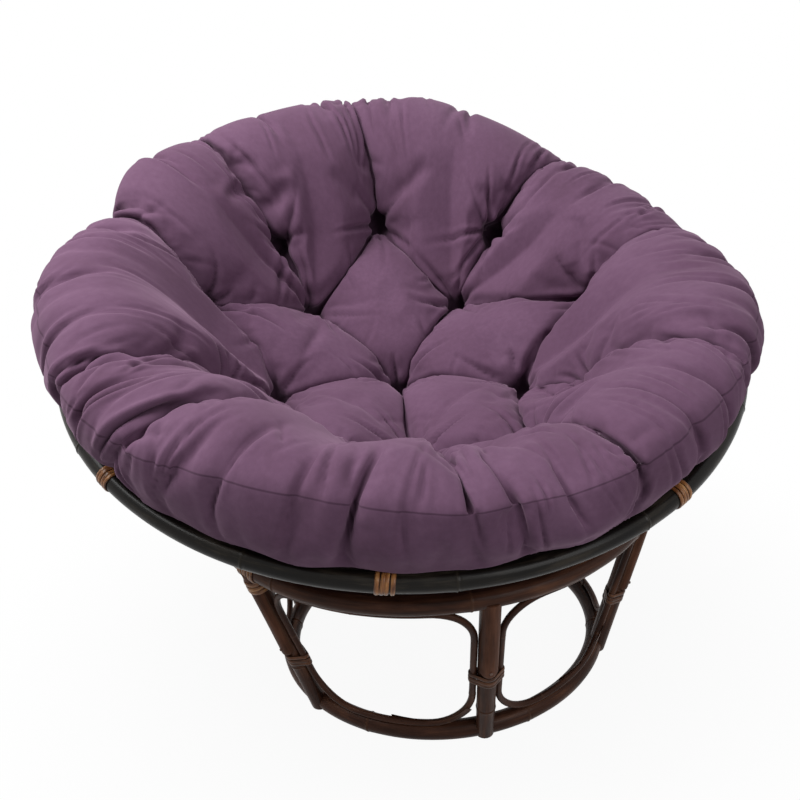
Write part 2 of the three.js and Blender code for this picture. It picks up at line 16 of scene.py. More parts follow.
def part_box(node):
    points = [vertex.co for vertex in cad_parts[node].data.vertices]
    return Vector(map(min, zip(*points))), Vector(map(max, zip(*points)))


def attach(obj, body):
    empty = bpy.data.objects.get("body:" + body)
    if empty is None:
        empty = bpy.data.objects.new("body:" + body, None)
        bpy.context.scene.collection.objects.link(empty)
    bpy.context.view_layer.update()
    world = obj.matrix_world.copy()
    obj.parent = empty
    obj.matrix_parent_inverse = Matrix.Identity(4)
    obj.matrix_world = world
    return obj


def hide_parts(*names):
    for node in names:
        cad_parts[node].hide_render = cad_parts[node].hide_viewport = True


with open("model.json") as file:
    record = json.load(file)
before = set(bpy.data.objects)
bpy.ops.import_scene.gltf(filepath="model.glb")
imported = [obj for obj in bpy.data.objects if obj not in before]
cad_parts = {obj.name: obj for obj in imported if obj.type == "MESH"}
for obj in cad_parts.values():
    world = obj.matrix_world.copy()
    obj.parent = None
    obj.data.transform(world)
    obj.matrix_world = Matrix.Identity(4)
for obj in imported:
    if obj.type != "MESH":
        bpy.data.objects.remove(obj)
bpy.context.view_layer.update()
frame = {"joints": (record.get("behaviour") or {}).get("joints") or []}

# %% [markdown]
# ## Two sets of axes
# The stand is round about an upright line. The bowl leans forwards, and its ribs lie on a ball. The middle of that
# ball is the point about which the bowl tilts, so the bowl and the cushion are drawn about it. Both sets of axes
# come from the frame: the base ring's box gives the first, and the two joints give the second.

# %% Axes of the stand and of the bowl
MM = 0.001
FRONT_LEG_AZIMUTH = math.radians(-2.5)
FIRST_RIB_AZIMUTH = math.radians(-17)


def joint(name):
    return next(j for j in frame["joints"] if j["name"] == name)


def axes_at(middle, *directions):
    return Matrix.Translation(middle) @ Matrix(directions).transposed().to_4x4()


def in_scene(name, data):
    """A new object of the scene."""
    thing = bpy.data.objects.new(name, data)
    bpy.context.scene.collection.objects.link(thing)
    return thing


stand_middle = sum(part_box("base_ring"), Vector()) / 2
stand_middle.z = 0
tilt_centre = Vector(joint("bowl_tilt")["pos_m"])
bowl_up = Vector(joint("cushion_lift")["axis"]).normalized()
sideways = Vector((1, 0, 0))

stand_axes = Matrix.Translation(stand_middle)
bowl_axes = axes_at(tilt_centre, sideways, bowl_up.cross(sideways), bowl_up)
print("tilt centre", [round(c, 4) for c in tilt_centre], "lean", round(math.degrees(bowl_up.angle((0, 0, 1))), 2))

# %% [markdown]
# ## Camera
# A chair is photographed from a little above its seat and from the middle distance, so that the rings read as
# ovals. The camera is set out from the middle of the stand on the floor, with a slight roll, as when a camera is
# held by hand.

# %% Camera
CAMERA_PLACE = Vector((-0.2992, -1.2476, 0.9655))
CAMERA_TARGET = Vector((-0.0347, 0.0073, 0.4306))
CAMERA_LENS = 40.52
SENSOR_WIDTH = 36
CAMERA_ROLL = math.radians(-5.34)

forwards = (CAMERA_TARGET - CAMERA_PLACE).normalized()
level_right = forwards.cross((0, 0, 1)).normalized()
level_up = level_right.cross(forwards)
right = level_right * math.cos(CAMERA_ROLL) + level_up * math.sin(CAMERA_ROLL)

camera = in_scene("camera", bpy.data.cameras.new("camera"))
camera.data.lens = CAMERA_LENS
camera.data.sensor_width = SENSOR_WIDTH
camera.matrix_world = axes_at(stand_middle + CAMERA_PLACE, right, right.cross(forwards), -forwards)
bpy.context.scene.camera = camera
print("camera stands", round((CAMERA_TARGET - CAMERA_PLACE).length, 3), "m from what it looks at")

# %% [markdown]
# ## One way to write a material
# Colours are picked on a screen, so they are written as sRGB hex and turned to linear light here. A material
# is a tree of nodes. One small function adds a node, sets what it needs and links what feeds it. Short functions
# over it give the socket of a noise, a ramp of colours, a mix and a range.


# %% Colours and nodes
def to_linear(hex_colour):
    channels = [int(hex_colour[i:i + 2], 16) / 255 for i in (1, 3, 5)]
    linear = [c / 12.92 if c <= 0.04045 else ((c + 0.055) / 1.055) ** 2.4 for c in channels]
    return (*linear, 1.0)


def add(tree, kind, settings=None, links=None):
    """Adds a node. settings are its properties or its sockets' values, links the sockets that feed its own."""
    node = tree.nodes.new(kind)
    for name, value in (settings or {}).items():
        if name == "stops":
            ramp = node.color_ramp
            while len(ramp.elements) < len(value):
                ramp.elements.new(0.5)
            for element, (place, colour) in zip(ramp.elements, value):
                element.position = place
                element.color = to_linear(colour)
        elif isinstance(name, str) and hasattr(node, name):
            setattr(node, name, value)
        else:
            node.inputs[name].default_value = value
    for name, source in (links or {}).items():
        tree.links.new(source, node.inputs[name])
    return node


def carried(tree, name):
    """What a mesh's points carry under a name."""
    return add(tree, "ShaderNodeAttribute", {"attribute_name": name})


def noise(tree, place, scale, detail, roughness=0.5):
    settings = {"Scale": scale, "Detail": detail, "Roughness": roughness}
    return add(tree, "ShaderNodeTexNoise", settings, {"Vector": place}).outputs[0]


def colours(tree, value, *stops):
    return add(tree, "ShaderNodeValToRGB", {"stops": stops}, {"Fac": value}).outputs[0]


def mixed(tree, share, first, second):
    settings = {"data_type": "FLOAT", "Factor": share}
    return add(tree, "ShaderNodeMix", settings, {"A": first, "B": second}).outputs[0]


def tinted(tree, share, base, hex_colour):
    """A colour that goes over to another where share says so."""
    settings = {"data_type": "RGBA", 7: to_linear(hex_colour)}
    return add(tree, "ShaderNodeMix", settings, {0: share, 6: base}).outputs[2]


def in_range(tree, value, start, end, low, high, **settings):
    settings.update({"From Min": start, "From Max": end, "To Min": low, "To Max": high})
    return add(tree, "ShaderNodeMapRange", settings, {"Value": value}).outputs[0]


def calculated(tree, operation, first, second):
    return add(tree, "ShaderNodeMath", {"operation": operation}, {0: first, 1: second}).outputs[0]


def relief(tree, height, strength, depth):
    return add(tree, "ShaderNodeBump", {"Strength": strength, "Distance": depth}, {"Height": height}).outputs[0]


def new_material(name):
    material = bpy.data.materials.new(name)
    material.use_nodes = True
    material.node_tree.nodes.clear()
    return material, material.node_tree


def shaded(tree, settings, links):
    """Ends a material with the usual shader."""
    shader = add(tree, "ShaderNodeBsdfPrincipled", settings, links)
    add(tree, "ShaderNodeOutputMaterial", links={"Surface": shader.outputs[0]})

# %% [markdown]
# ## Stained rattan
# Rattan is a climbing palm: a solid cane of long fibres with a hard, glossy skin. Here it is stained nearly black
# and lacquered. To the eye that is a dark brown with fine streaks along the cane, a paler ring at each growth node,
# and long soft highlights. The fibres are about 0.4 mm wide. They are drawn 1.6 mm wide, because finer ones don't
# show at this distance. The streaks follow the cane, so they are read from a place along and around it, which
# every pole's mesh carries in its grain attribute.

# %% Stained rattan
FIBRE_WIDTH = 1.6 * MM
STREAK_LENGTH = 90 * MM
CANE_STOPS = (0.36, 0.5, 0.64)
CANE_IOR = 1.5


def grain_noise(tree, length, width, detail, roughness=0.5):
    """A noise whose marks lie along the cane, with their length and width."""
    place = add(tree, "ShaderNodeMapping", {"Scale": (1 / length, 1 / width, 1 / width)}, {
        "Vector": carried(tree, "grain").outputs["Vector"]})
    return noise(tree, place.outputs[0], 1, detail, roughness)


def cane_material(name, stain, scar_colour, roughness, gloss, coat):
    """stain has the dark, the middle and the pale colour of the streaks."""
    material, tree = new_material(name)
    streaks = grain_noise(tree, STREAK_LENGTH, 4 * FIBRE_WIDTH, 5, 0.6)
    patches = grain_noise(tree, 0.8 * STREAK_LENGTH, 14 * FIBRE_WIDTH, 3)
    fibres = grain_noise(tree, 0.5 * STREAK_LENGTH, FIBRE_WIDTH, 2)
    streaked = colours(tree, mixed(tree, 0.5, patches, streaks), *zip(CANE_STOPS, stain))
    shaded(tree, {
        "IOR": CANE_IOR, "Specular IOR Level": gloss, "Coat Weight": coat, "Coat Roughness": 0.22,
        "Coat IOR": CANE_IOR}, {
        # On canes this channel holds the growth node scars, their own colour.
        "Base Color": tinted(tree, carried(tree, "scar").outputs["Fac"], streaked, scar_colour),
        "Roughness": in_range(tree, fibres, 0.3, 0.7, roughness - 0.08, roughness + 0.12),
        "Normal": relief(tree, fibres, 0.35, 0.25 * MM)})
    return material


stand_cane = cane_material("stained rattan, stand", ("#28160f", "#43291e", "#61402f"), "#4a3022", 0.42, 0.08, 0.04)
bowl_cane = cane_material("stained rattan, bowl", ("#090706", "#15110d", "#38322a"), "#241f18", 0.34, 0.08, 0.14)
split_cane = cane_material("split rattan", ("#3a2319", "#593829", "#704a38"), "#5d4837", 0.5, 0.06, 0.02)
print("cane materials:", stand_cane.name, bowl_cane.name, split_cane.name, sep="\n  ")

# %% [markdown]
# ## Rattan peel
# The lashings are peel: the glossy outer skin of the cane, cut into strips a few millimetres wide and wound on wet,
# so that they shrink tight. The peel on the rim keeps its own tan colour under the lacquer. That on the legs took
# the stain. Each strip has its own tone. Shade is painted where two strips meet: each strip is darkened towards
# its darkest stain at its foot, where it lies against the next turn, and not at its crown.


# %% Rattan peel
PEEL_STOPS = (0.38, 0.52, 0.66)


def peel_material(name, stain, roughness, gloss, coat):
    material, tree = new_material(name)
    fibres = grain_noise(tree, 30 * MM, 0.8 * MM, 4)
    blotches = grain_noise(tree, 16 * MM, 9 * MM, 2)
    streaked = colours(tree, mixed(tree, 0.45, blotches, fibres), *zip(PEEL_STOPS, stain))
    shaded(tree, {
        "IOR": CANE_IOR, "Specular IOR Level": gloss, "Roughness": roughness, "Coat Weight": coat,
        "Coat Roughness": 0.2}, {
        # Where two strips meet the peel is darkened towards its darkest stain: painted shade of the gaps between
        # turns.
        "Base Color": tinted(tree, carried(tree, "scar").outputs["Fac"], streaked, stain[0]),
        "Normal": relief(tree, fibres, 0.4, 0.2 * MM)})
    return material


tan_peel = peel_material("tan rattan peel", ("#512c15", "#9a6335", "#c8955c"), 0.38, 0.25, 0.2)
stained_peel = peel_material("stained rattan peel", ("#2c1a11", "#5a3826", "#7c5238"), 0.42, 0.12, 0.08)
print("peel materials:", tan_peel.name, stained_peel.name, sep="\n  ")

# %% [markdown]
# ## Nail steel
# The splints are held by small wire nails, driven home and stained over with the rest. They are steel, but what
# shows of their heads is a dull dark dot with a worn crown.


# %% Nail steel
NAIL_WEAR = 2 * MM


def nail_steel():
    material, tree = new_material("stained nail steel")
    place = add(tree, "ShaderNodeTexCoord").outputs["Object"]
    wear = noise(tree, place, 1 / NAIL_WEAR, 3)
    shaded(tree, {"Metallic": 0.2}, {
        "Base Color": colours(tree, wear, (0.4, "#4a3227"), (0.7, "#75584a")),
        "Roughness": in_range(tree, wear, 0, 1, 0.35, 0.6)})
    return material


nail_finish = nail_steel()

# %% [markdown]
# ## Cotton twill
# The cover is a brushed cotton twill, dyed plum. Cotton has no gloss: light catches the short fuzz instead, so the
# shoulders of a fold look paler and a little pinker than its sides. That is the shader's sheen. The ribs of the
# weave, 0.8 mm apart in such a cloth, don't show at this distance. What is drawn of it is slubs and a slow diagonal
# unevenness. A sharp fold is drawn wider and shallower than the real one, in whose bottom the cloth lies against
# itself in the dark, so its shade is painted there: the cloth is darkened by the fold's depth towards a near-black
# plum.

# %% Cotton twill
WEAVE_BAND = 15.7 * MM
WAVES_AT_SCALE_1 = 10 * math.sqrt(2) / (2 * math.pi)  # in a metre across a diagonal band texture
SLUB_LENGTH = 9 * MM
FADE_LENGTH = 140 * MM
THREAD_RELIEF = 0.4 * MM


def cotton_twill():
    material, tree = new_material("plum cotton twill")
    cloth = carried(tree, "cloth").outputs["Vector"]
    bands = add(tree, "ShaderNodeTexWave", {
        "wave_type": "BANDS", "bands_direction": "DIAGONAL", "Scale": 1 / (WAVES_AT_SCALE_1 * WEAVE_BAND),
        "Distortion": 1.2, "Detail": 2, "Detail Scale": 1.5}, {"Vector": cloth}).outputs[1]
    slubs = noise(tree, cloth, 1 / SLUB_LENGTH, 4, 0.6)
    fade = noise(tree, cloth, 1 / FADE_LENGTH, 3)
    dye = colours(tree, mixed(tree, 0.35, fade, slubs), (0.3, "#5f4458"), (0.5, "#694c63"), (0.7, "#74566e"))
    seam_line = in_range(tree, carried(tree, "seam").outputs["Fac"], 0.4 * MM, 1.3 * MM, 0.55, 0)
    # Painted shade: deep folds and tuft pits are darkened by their depth towards a near-black plum, up to 0.85.
    painted_fold_shade = in_range(tree, carried(tree, "fold").outputs["Fac"], 0.8 * MM, 9 * MM, 0, 0.85)
    shaded(tree, {
        "IOR": 1.45, "Roughness": 0.92, "Specular IOR Level": 0.1, "Sheen Weight": 0.35, "Sheen Roughness": 0.45,
        "Sheen Tint": to_linear("#d9b7cf")}, {
        # The near-black plum is the seam's dark line and, in the folds, painted shade.
        "Base Color": tinted(tree, calculated(tree, "MAXIMUM", seam_line, painted_fold_shade), dye, "#33202e"),
        "Normal": relief(tree, mixed(tree, 0.4, bands, slubs), 0.25, THREAD_RELIEF)})
    return material


twill = cotton_twill()

# %% [markdown]
# ## Poles
# A cane isn't a perfect tube. It swells a little at each growth node, where the leaf sheath left a ring, and it is
# never quite round. So each pole is a skin of rows along its centre line, with more rows where a node is. A route
# gives, for places along the pole, the centre line and two directions across it. A shape may then cut the rows, as
# a spokeshave would: a flat for a splint, or the slant of a scarf joint.

# %% Poles
POLE_SIDES = 20
ROW_STEP = 9 * MM
NODE_SPACING = (210 * MM, 330 * MM)
FIRST_NODE_SHARES = (0.3, 0.9)
NODE_TO_END = 25 * MM
NODE_ROWS = np.array([-16, -10, -6, -3.5, -2.2, -1.2, 0, 1.2, 2.4, 4, 7, 12, 18]) * MM
END_ROWS = np.array([0, 0.5, 1.4, 3]) * MM
NODE_SWELLS = [(0.035, 0, 9 * MM), (0.05, 0, 1.4 * MM), (-0.035, 2.6 * MM, 1.1 * MM)]  # share, place, half width
SCAR_HALF_WIDTH = 1.8 * MM
END_ROUNDING = 3 * MM
END_CHAMFER = 1.2 * MM
OVAL_SHARE = 0.012
OVAL_TWIST = 150 * MM
THICK_WAVES = [(0.012, 110 * MM), (0.01, 43 * MM)]
GRAIN_STARTS = (0, 30)
SHARP_ANGLE = math.radians(50)
chance = np.random.default_rng(7)


def length_of(vectors):
    return np.linalg.norm(vectors, axis=-1)


def unit(vectors):
    return vectors / np.linalg.norm(vectors, axis=-1, keepdims=True)


def growth_nodes(start, end):
    """Places of a cane's growth nodes between its ends."""
    places = []
    place = start + chance.uniform(*FIRST_NODE_SHARES) * NODE_SPACING[0]
    while place < end - NODE_TO_END:
        places.append(place)
        place += chance.uniform(*NODE_SPACING)
    return np.array(places)


def pole_rows(start, end, nodes):
    """Where the rows of a pole's skin lie: evenly, and closer together at its nodes and ends."""
    even = np.linspace(start, end, max(2, round((end - start) / ROW_STEP)) + 1)
    for node in nodes:
        even = even[np.abs(even - node) > NODE_ROWS[-1] + 2 * MM]
    even = even[(even > start + END_ROWS[-1] + 2 * MM) & (even < end - END_ROWS[-1] - 2 * MM)]
    close = [node + NODE_ROWS for node in nodes]
    rows = np.concatenate([start + END_ROWS, end - END_ROWS, even, *close])
    return np.unique(np.clip(rows, start, end))


def skin_faces(rows, sides):
    """Faces of a skin over rows of points, with a fan at each end. The two end points come after the rows."""
    row, side = np.meshgrid(np.arange(rows - 1), np.arange(sides), indexing="ij")
    a = (row * sides + side).ravel()
    b = (row * sides + (side + 1) % sides).ravel()
    faces = np.stack([a, b, b + sides, a + sides], 1).tolist()
    first, last = rows * sides, rows * sides + 1
    top = (rows - 1) * sides
    for i in range(sides):
        faces.append([first, (i + 1) % sides, i])
        faces.append([last, top + i, top + (i + 1) % sides])
    return faces


def skin(*rows_of_values):
    """A closed skin as (points, faces, grain, scar), from rows of points, grain and scar."""
    points, grain, scar = [
        np.concatenate([values.reshape(-1, *values.shape[2:]), [values[0].mean(0), values[-1].mean(0)]])
        for values in rows_of_values]
    return points, skin_faces(*rows_of_values[0].shape[:2]), grain, scar


def pole(route, start, end, radius, shape=None, sides=POLE_SIDES):
    """A cane along a route, from start to end along it."""
    nodes = growth_nodes(start, end)
    along = pole_rows(start, end, nodes)
    angle = np.linspace(0, 2 * np.pi, sides, endpoint=False)
    swell, scar = np.zeros((2, len(along)))
    for node in nodes:
        away = along - node
        for share, place, half_width in NODE_SWELLS:
            swell += share * np.exp(-((away - place) / half_width) ** 2)
        scar += np.exp(-(away / SCAR_HALF_WIDTH) ** 2)
    twist, *starts = chance.uniform(0, 2 * np.pi, 3)
    for (share, length), wave_start in zip(THICK_WAVES, starts):
        swell += share * np.sin(along / length + wave_start)
    rounding = np.sqrt(np.clip(np.minimum(along - start, end - along) / END_ROUNDING, 0, 1))
    oval = OVAL_SHARE * np.sin(2 * angle + twist + along[:, None] / OVAL_TWIST)
    reach = radius * (1 + swell[:, None] + oval) - END_CHAMFER * (1 - rounding[:, None])
    offset = np.stack([reach * np.cos(angle), reach * np.sin(angle)], -1)
    places = np.broadcast_to(along[:, None], reach.shape)
    grain = np.concatenate([(places + chance.uniform(*GRAIN_STARTS))[..., None], offset], -1)
    if shape:
        offset, places = shape(places, offset)
    centre, outwards, across = [values.reshape(*reach.shape, 3) for values in route(places.ravel())]
    points = centre + offset[..., :1] * outwards + offset[..., 1:] * across
    return skin(points, grain, np.broadcast_to(scar[:, None], reach.shape))


def joined(*skins):
    """Several skins as one."""
    points, faces, grain, scar = zip(*skins)
    starts = np.cumsum([0, *map(len, points)]).tolist()
    moved = [[start + i for i in face] for start, some in zip(starts, faces) for face in some]
    return np.concatenate(points), moved, np.concatenate(grain), np.concatenate(scar)


def placed(points, axes):
    matrix = np.array(axes)
    return points @ matrix[:3, :3].T + matrix[:3, 3]


def mesh_of(name, points, faces, **carried_values):
    """A mesh whose points carry values, each under a name."""
    mesh = bpy.data.meshes.new(name)
    mesh.from_pydata(points.tolist(), [], faces)
    for value_name, values in carried_values.items():
        kind, field = ("FLOAT_VECTOR", "vector") if values.ndim == 2 else ("FLOAT", "value")
        mesh.attributes.new(value_name, kind, "POINT").data.foreach_set(field, values.ravel())
    return mesh


def dress(node, shape, axes, body, finish):
    """A fine piece that rides on a body and stands for a solid of the frame."""
    points, faces, grain, scar = shape
    mesh = mesh_of(f"{node}_fine", placed(points, axes), faces, grain=grain, scar=scar)
    mesh.shade_smooth()
    mesh.set_sharp_from_angle(angle=SHARP_ANGLE)
    mesh.materials.append(finish)
    piece = in_scene(f"{node}_fine", mesh)
    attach(piece, body)
    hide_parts(node)
    return piece


def at(radius, azimuth, height):
    """Points at azimuths counted from the front towards the right."""
    radius, azimuth, height = np.broadcast_arrays(radius, azimuth, height)
    return np.stack([radius * np.sin(azimuth), -radius * np.cos(azimuth), height], -1)

# %% [markdown]
# ## Rings
# A ring is one long cane, bent hot round a form. Its two ends are planed to long slants that lie on each other, a
# scarf joint, and they are nailed through. A ring route follows the circle, and the slant is a shape that cuts the
# rows near both ends: one end keeps the inner side, the other the outer side. The base ring is worn flat where its
# growth nodes would stand below the floor.

# %% Rings
RING_POLE = 14 * MM
BASE_RING_RADIUS = 257.8 * MM
TOP_RING_RADIUS = 337.8 * MM
TOP_RING_HEIGHT = 289.7 * MM
RIM_RADIUS = 518 * MM
SCARF_LENGTH = 130 * MM
SCARF_GAP = 0.3 * MM
SCARF_REACH_SHARE = 1.1
base_ring_height = RING_POLE * math.cos(math.pi / 8)


def scarf(length, radius):
    """Cuts both ends of a closed cane to slants that lie on each other."""
    def slant(places):
        return SCARF_REACH_SHARE * radius * (2 * np.clip(places / SCARF_LENGTH, 0, 1) - 1)

    def shape(places, offset):
        proud, across = offset[..., 0], offset[..., 1]
        inner = np.minimum(proud, slant(places) - SCARF_GAP)
        outer = np.maximum(proud, slant(places - length) + SCARF_GAP)
        cut = np.where(places < SCARF_LENGTH, inner, np.where(places > length, outer, proud))
        return np.stack([cut, across], -1), places
    return shape


def ring(radius, height, pole_radius, start_degrees, sides=POLE_SIDES):
    length = 2 * math.pi * radius

    def route(along):
        azimuth = math.radians(start_degrees) + along / radius
        outwards = at(1, azimuth, 0)
        return at(radius, azimuth, height), outwards, np.broadcast_to([0, 0, 1.0], outwards.shape)
    return pole(route, 0, length + SCARF_LENGTH, pole_radius, scarf(length, pole_radius), sides)


base_ring = ring(BASE_RING_RADIUS, base_ring_height, RING_POLE, 150)
top_ring = ring(TOP_RING_RADIUS, TOP_RING_HEIGHT, RING_POLE, 205)
base_ring[0][:, 2] = np.maximum(base_ring[0][:, 2], 0)
dress("base_ring", base_ring, stand_axes, "stand", stand_cane)
dress("top_ring", top_ring, stand_axes, "stand", stand_cane)
print("ring rows of points:", len(base_ring[0]) // POLE_SIDES, len(top_ring[0]) // POLE_SIDES)

# %% [markdown]
# ## Legs
# Six poles stand between the rings and lean outwards. Each foot is hollowed to sit over the base ring and keeps a
# tongue that runs down the ring's outer side. The head is butted under the top ring. The upper half of the outer
# side is planed flat for the splint. A leg's own line runs from foot to head, and its row shape cuts the flat and
# draws up the inner side of the foot into the ring.

# %% Legs
LEG_COUNT = 6
LEG_POLE = 13.5 * MM
LEG_PROUD = 6 * MM
LEG_FOOT_CLEARANCE = 2.5 * MM
LEG_FOOT_REACH = 14 * MM
LEG_HEAD_REACH = 2 * MM
TONGUE_SHARES = (-0.35, 0.25)
SPLINT_SEAT_DEPTH = 9 * MM
SPLINT_SEAT_RUNOUT = 2 * MM
LEG_PEEL_WIDTH = 7 * MM
LEG_BINDING_TURNS = 3
SPLINT_FOOT_GAP = 1.5 * MM
BINDING_RISE_SHARES = [0.43, 0.36, 0.4, 0.42, 0.38, 0.37]

leg_foot = np.array([0, -(BASE_RING_RADIUS + LEG_PROUD), base_ring_height])
leg_head = np.array([0, -TOP_RING_RADIUS, TOP_RING_HEIGHT])
leg_length = float(length_of(leg_head - leg_foot))
leg_up = (leg_head - leg_foot) / leg_length
leg_across = np.array([1.0, 0, 0])
leg_outwards = np.cross(leg_across, leg_up)
flat_offset = LEG_POLE - SPLINT_SEAT_DEPTH


def leg_axes(leg):
    return stand_axes @ Matrix.Rotation(FRONT_LEG_AZIMUTH + 2 * math.pi * leg / LEG_COUNT, 4, "Z")


def leg_route(along):
    centre = leg_foot + along[:, None] * leg_up
    return centre, np.broadcast_to(leg_outwards, centre.shape), np.broadcast_to(leg_across, centre.shape)


def splint_foot(leg):
    return leg_length * BINDING_RISE_SHARES[leg] + LEG_BINDING_TURNS * LEG_PEEL_WIDTH / 2 + SPLINT_FOOT_GAP


def leg_shape(foot):
    """Cuts a leg's flat, which starts at the splint's foot, and the hollow over the base ring."""
    def shape(places, offset):
        planed = np.clip((places - foot) / SPLINT_SEAT_RUNOUT, 0, 1)
        proud = np.minimum(offset[..., 0], SCARF_REACH_SHARE * LEG_POLE * (1 - planed) + flat_offset * planed)
        floor = -(base_ring_height - LEG_FOOT_CLEARANCE + proud * leg_outwards[2]) / leg_up[2]
        tongue_start, tongue_end = TONGUE_SHARES
        tongue = np.clip((offset[..., 0] / LEG_POLE - tongue_start) / (tongue_end - tongue_start), 0, 1)
        low_end = np.where(places < 0, places * tongue, places)
        return np.stack([proud, offset[..., 1]], -1), np.maximum(low_end, floor)
    return shape


for leg in range(LEG_COUNT):
    wood = pole(leg_route, -LEG_FOOT_REACH, leg_length + LEG_HEAD_REACH, LEG_POLE, leg_shape(splint_foot(leg)))
    dress(f"leg_{leg + 1}", wood, leg_axes(leg), "stand", stand_cane)
print("leg length", round(leg_length / MM, 1), "mm")

# %% [markdown]
# ## Splints
# A splint is a pole split lengthwise. Its flat back is nailed on the leg's flat, and its lower end is rounded off
# with a knife, so that it ends in a thumb shape above the lashing. The domed head of a nail shows near that end. It
# is part of the splint's mesh, with the nail's own material on its faces.

# %% Splints
SPLINT_WIDTH = 26 * MM
SPLINT_THICKNESS = 12.4 * MM
SPLINT_END_RADIUS = 11 * MM
SPLINT_END_ROWS = 9
SPLINT_LONG_ROWS = 22
SPLINT_THUMB_SHARE = 0.55
SPLINT_THIN_SHARE = 0.35
SPLINT_CROWN = 0.85
SPLINT_WAVE = (0.02, 30 * MM)
SPLINT_ROW_GAP = 6 * MM
SPLINT_EDGE_STAIN = (0.4, 0.02)
SPLINT_BACK_POINTS = 5
SPLINT_ARC_POINTS = 18
NAIL_HEAD_RADIUS = 2.3 * MM
NAIL_HEAD_ROWS = np.array([[1, -0.6], [1, 0.1], [0.86, 0.5], [0.5, 0.8]])  # width and rise, in shares of the radius
NAIL_SIDES = 12
NAIL_FROM_FOOT = 15 * MM


def nail_head(place):
    """A nail's domed head on the crown of a splint, at a place along the leg."""
    middle = leg_foot + place * leg_up + (flat_offset + SPLINT_THICKNESS) * leg_outwards
    angle = np.linspace(0, 2 * np.pi, NAIL_SIDES, endpoint=False)
    circle = np.cos(angle)[:, None] * leg_up + np.sin(angle)[:, None] * leg_across
    width, rise = NAIL_HEAD_RADIUS * NAIL_HEAD_ROWS.T
    offset = width[:, None, None] * circle + rise[:, None, None] * leg_outwards
    return skin(middle + offset, offset, np.zeros(offset.shape[:2]))


def quarter_round(share):
    return np.sqrt(1 - (1 - np.clip(share, 0, 1)) ** 2)


def splint(leg):
    foot = splint_foot(leg)
    end_rows = foot + SPLINT_END_RADIUS * (1 - np.cos(np.linspace(0, np.pi / 2, SPLINT_END_ROWS)))
    long_rows = np.linspace(foot + SPLINT_END_RADIUS + SPLINT_ROW_GAP, leg_length, SPLINT_LONG_ROWS)
    along = np.concatenate([end_rows, long_rows])
    from_end = (along - foot) / SPLINT_END_RADIUS
    half_width = SPLINT_WIDTH / 2 - SPLINT_END_RADIUS * (1 - quarter_round(from_end))
    full = SPLINT_THIN_SHARE + (1 - SPLINT_THIN_SHARE) * quarter_round(from_end / SPLINT_THUMB_SHARE)
    wave_share, wave_length = SPLINT_WAVE
    thickness = SPLINT_THICKNESS * full * (1 + wave_share * np.sin(along / wave_length + leg))
    arc = np.linspace(0, np.pi, SPLINT_ARC_POINTS)
    back = np.linspace(-1, 1, SPLINT_BACK_POINTS + 2)[1:-1]
    across = np.concatenate([np.cos(arc), back])
    proud = np.concatenate([np.sin(arc) ** SPLINT_CROWN, np.zeros(SPLINT_BACK_POINTS)])
    outer = flat_offset + thickness[:, None] * proud
    side = half_width[:, None] * across
    points = leg_route(along)[0][:, None] + outer[..., None] * leg_outwards + side[..., None] * leg_across
    grain = np.stack([along[:, None] + chance.uniform(*GRAIN_STARTS) + 0 * outer, outer, side], -1)
    stain, spread = SPLINT_EDGE_STAIN
    edge = np.broadcast_to(stain * np.exp(-proud ** 2 / spread), outer.shape)
    return skin(points[:, ::-1], grain[:, ::-1], edge[:, ::-1])


for leg in range(LEG_COUNT):
    wood, nail = splint(leg), nail_head(splint_foot(leg) + NAIL_FROM_FOOT)
    piece = dress(f"leg_splint_{leg + 1}", joined(wood, nail), leg_axes(leg), "stand", split_cane)
    piece.data.materials.append(nail_finish)
    for face in piece.data.polygons[len(wood[1]):]:
        face.material_index = 1
print("splint feet at", [round(splint_foot(leg) / MM) for leg in range(LEG_COUNT)], "mm along the legs")

# %% [markdown]
# ## Window loops
# Between each pair of legs stands a thin cane, bent to a closed window with round corners. The loops lie on the
# cone between the two rings, and their sides run along the legs. The outline is laid out flat as side and rise,
# then bent onto the cone.

# %% Window loops
LOOP_POLE = 5 * MM
LOOP_SIDES = 12
LOOP_CORNER_RADIUS = 62 * MM
LOOP_CORNER_POINTS = 14
LOOP_FINE_STEPS = 8
LOOP_TANGENT_STEP = 2 * MM
LEG_TO_LOOP_GAP = 0.5 * MM
FIT_GAP = 0.35 * MM
cone_run = TOP_RING_RADIUS - BASE_RING_RADIUS
cone_rise = TOP_RING_HEIGHT - base_ring_height
cone_length = math.hypot(cone_run, cone_rise)


def cone_radius(rise):
    return BASE_RING_RADIUS + cone_run * rise / cone_length


def on_cone(side, rise):
    radius = cone_radius(rise)
    return at(radius, side / radius, base_ring_height + cone_rise * rise / cone_length)


def loop_half_width(rise):
    radius = cone_radius(rise)
    return radius * (math.pi / LEG_COUNT - np.arcsin((LEG_POLE + LOOP_POLE + LEG_TO_LOOP_GAP) / radius))


def loop_outline():
    """The window's centre line, from the middle of its foot round to the same place, as (side, rise)."""
    low = RING_POLE + LOOP_POLE + FIT_GAP
    high = cone_length - low
    turn = np.linspace(0, np.pi / 2, LOOP_CORNER_POINTS)
    near, far = LOOP_CORNER_RADIUS * (1 - np.sin(turn)), LOOP_CORNER_RADIUS * (1 - np.cos(turn))
    inset, rise = np.concatenate([[near, low + far], [far, high - near]], 1)
    side = loop_half_width(rise) - inset
    right_side, left_side = np.stack([side, rise], 1), np.stack([-side, rise], 1)[::-1]
    return np.concatenate([[[0, low]], right_side, [[0, high]], left_side, [[0, low]]])


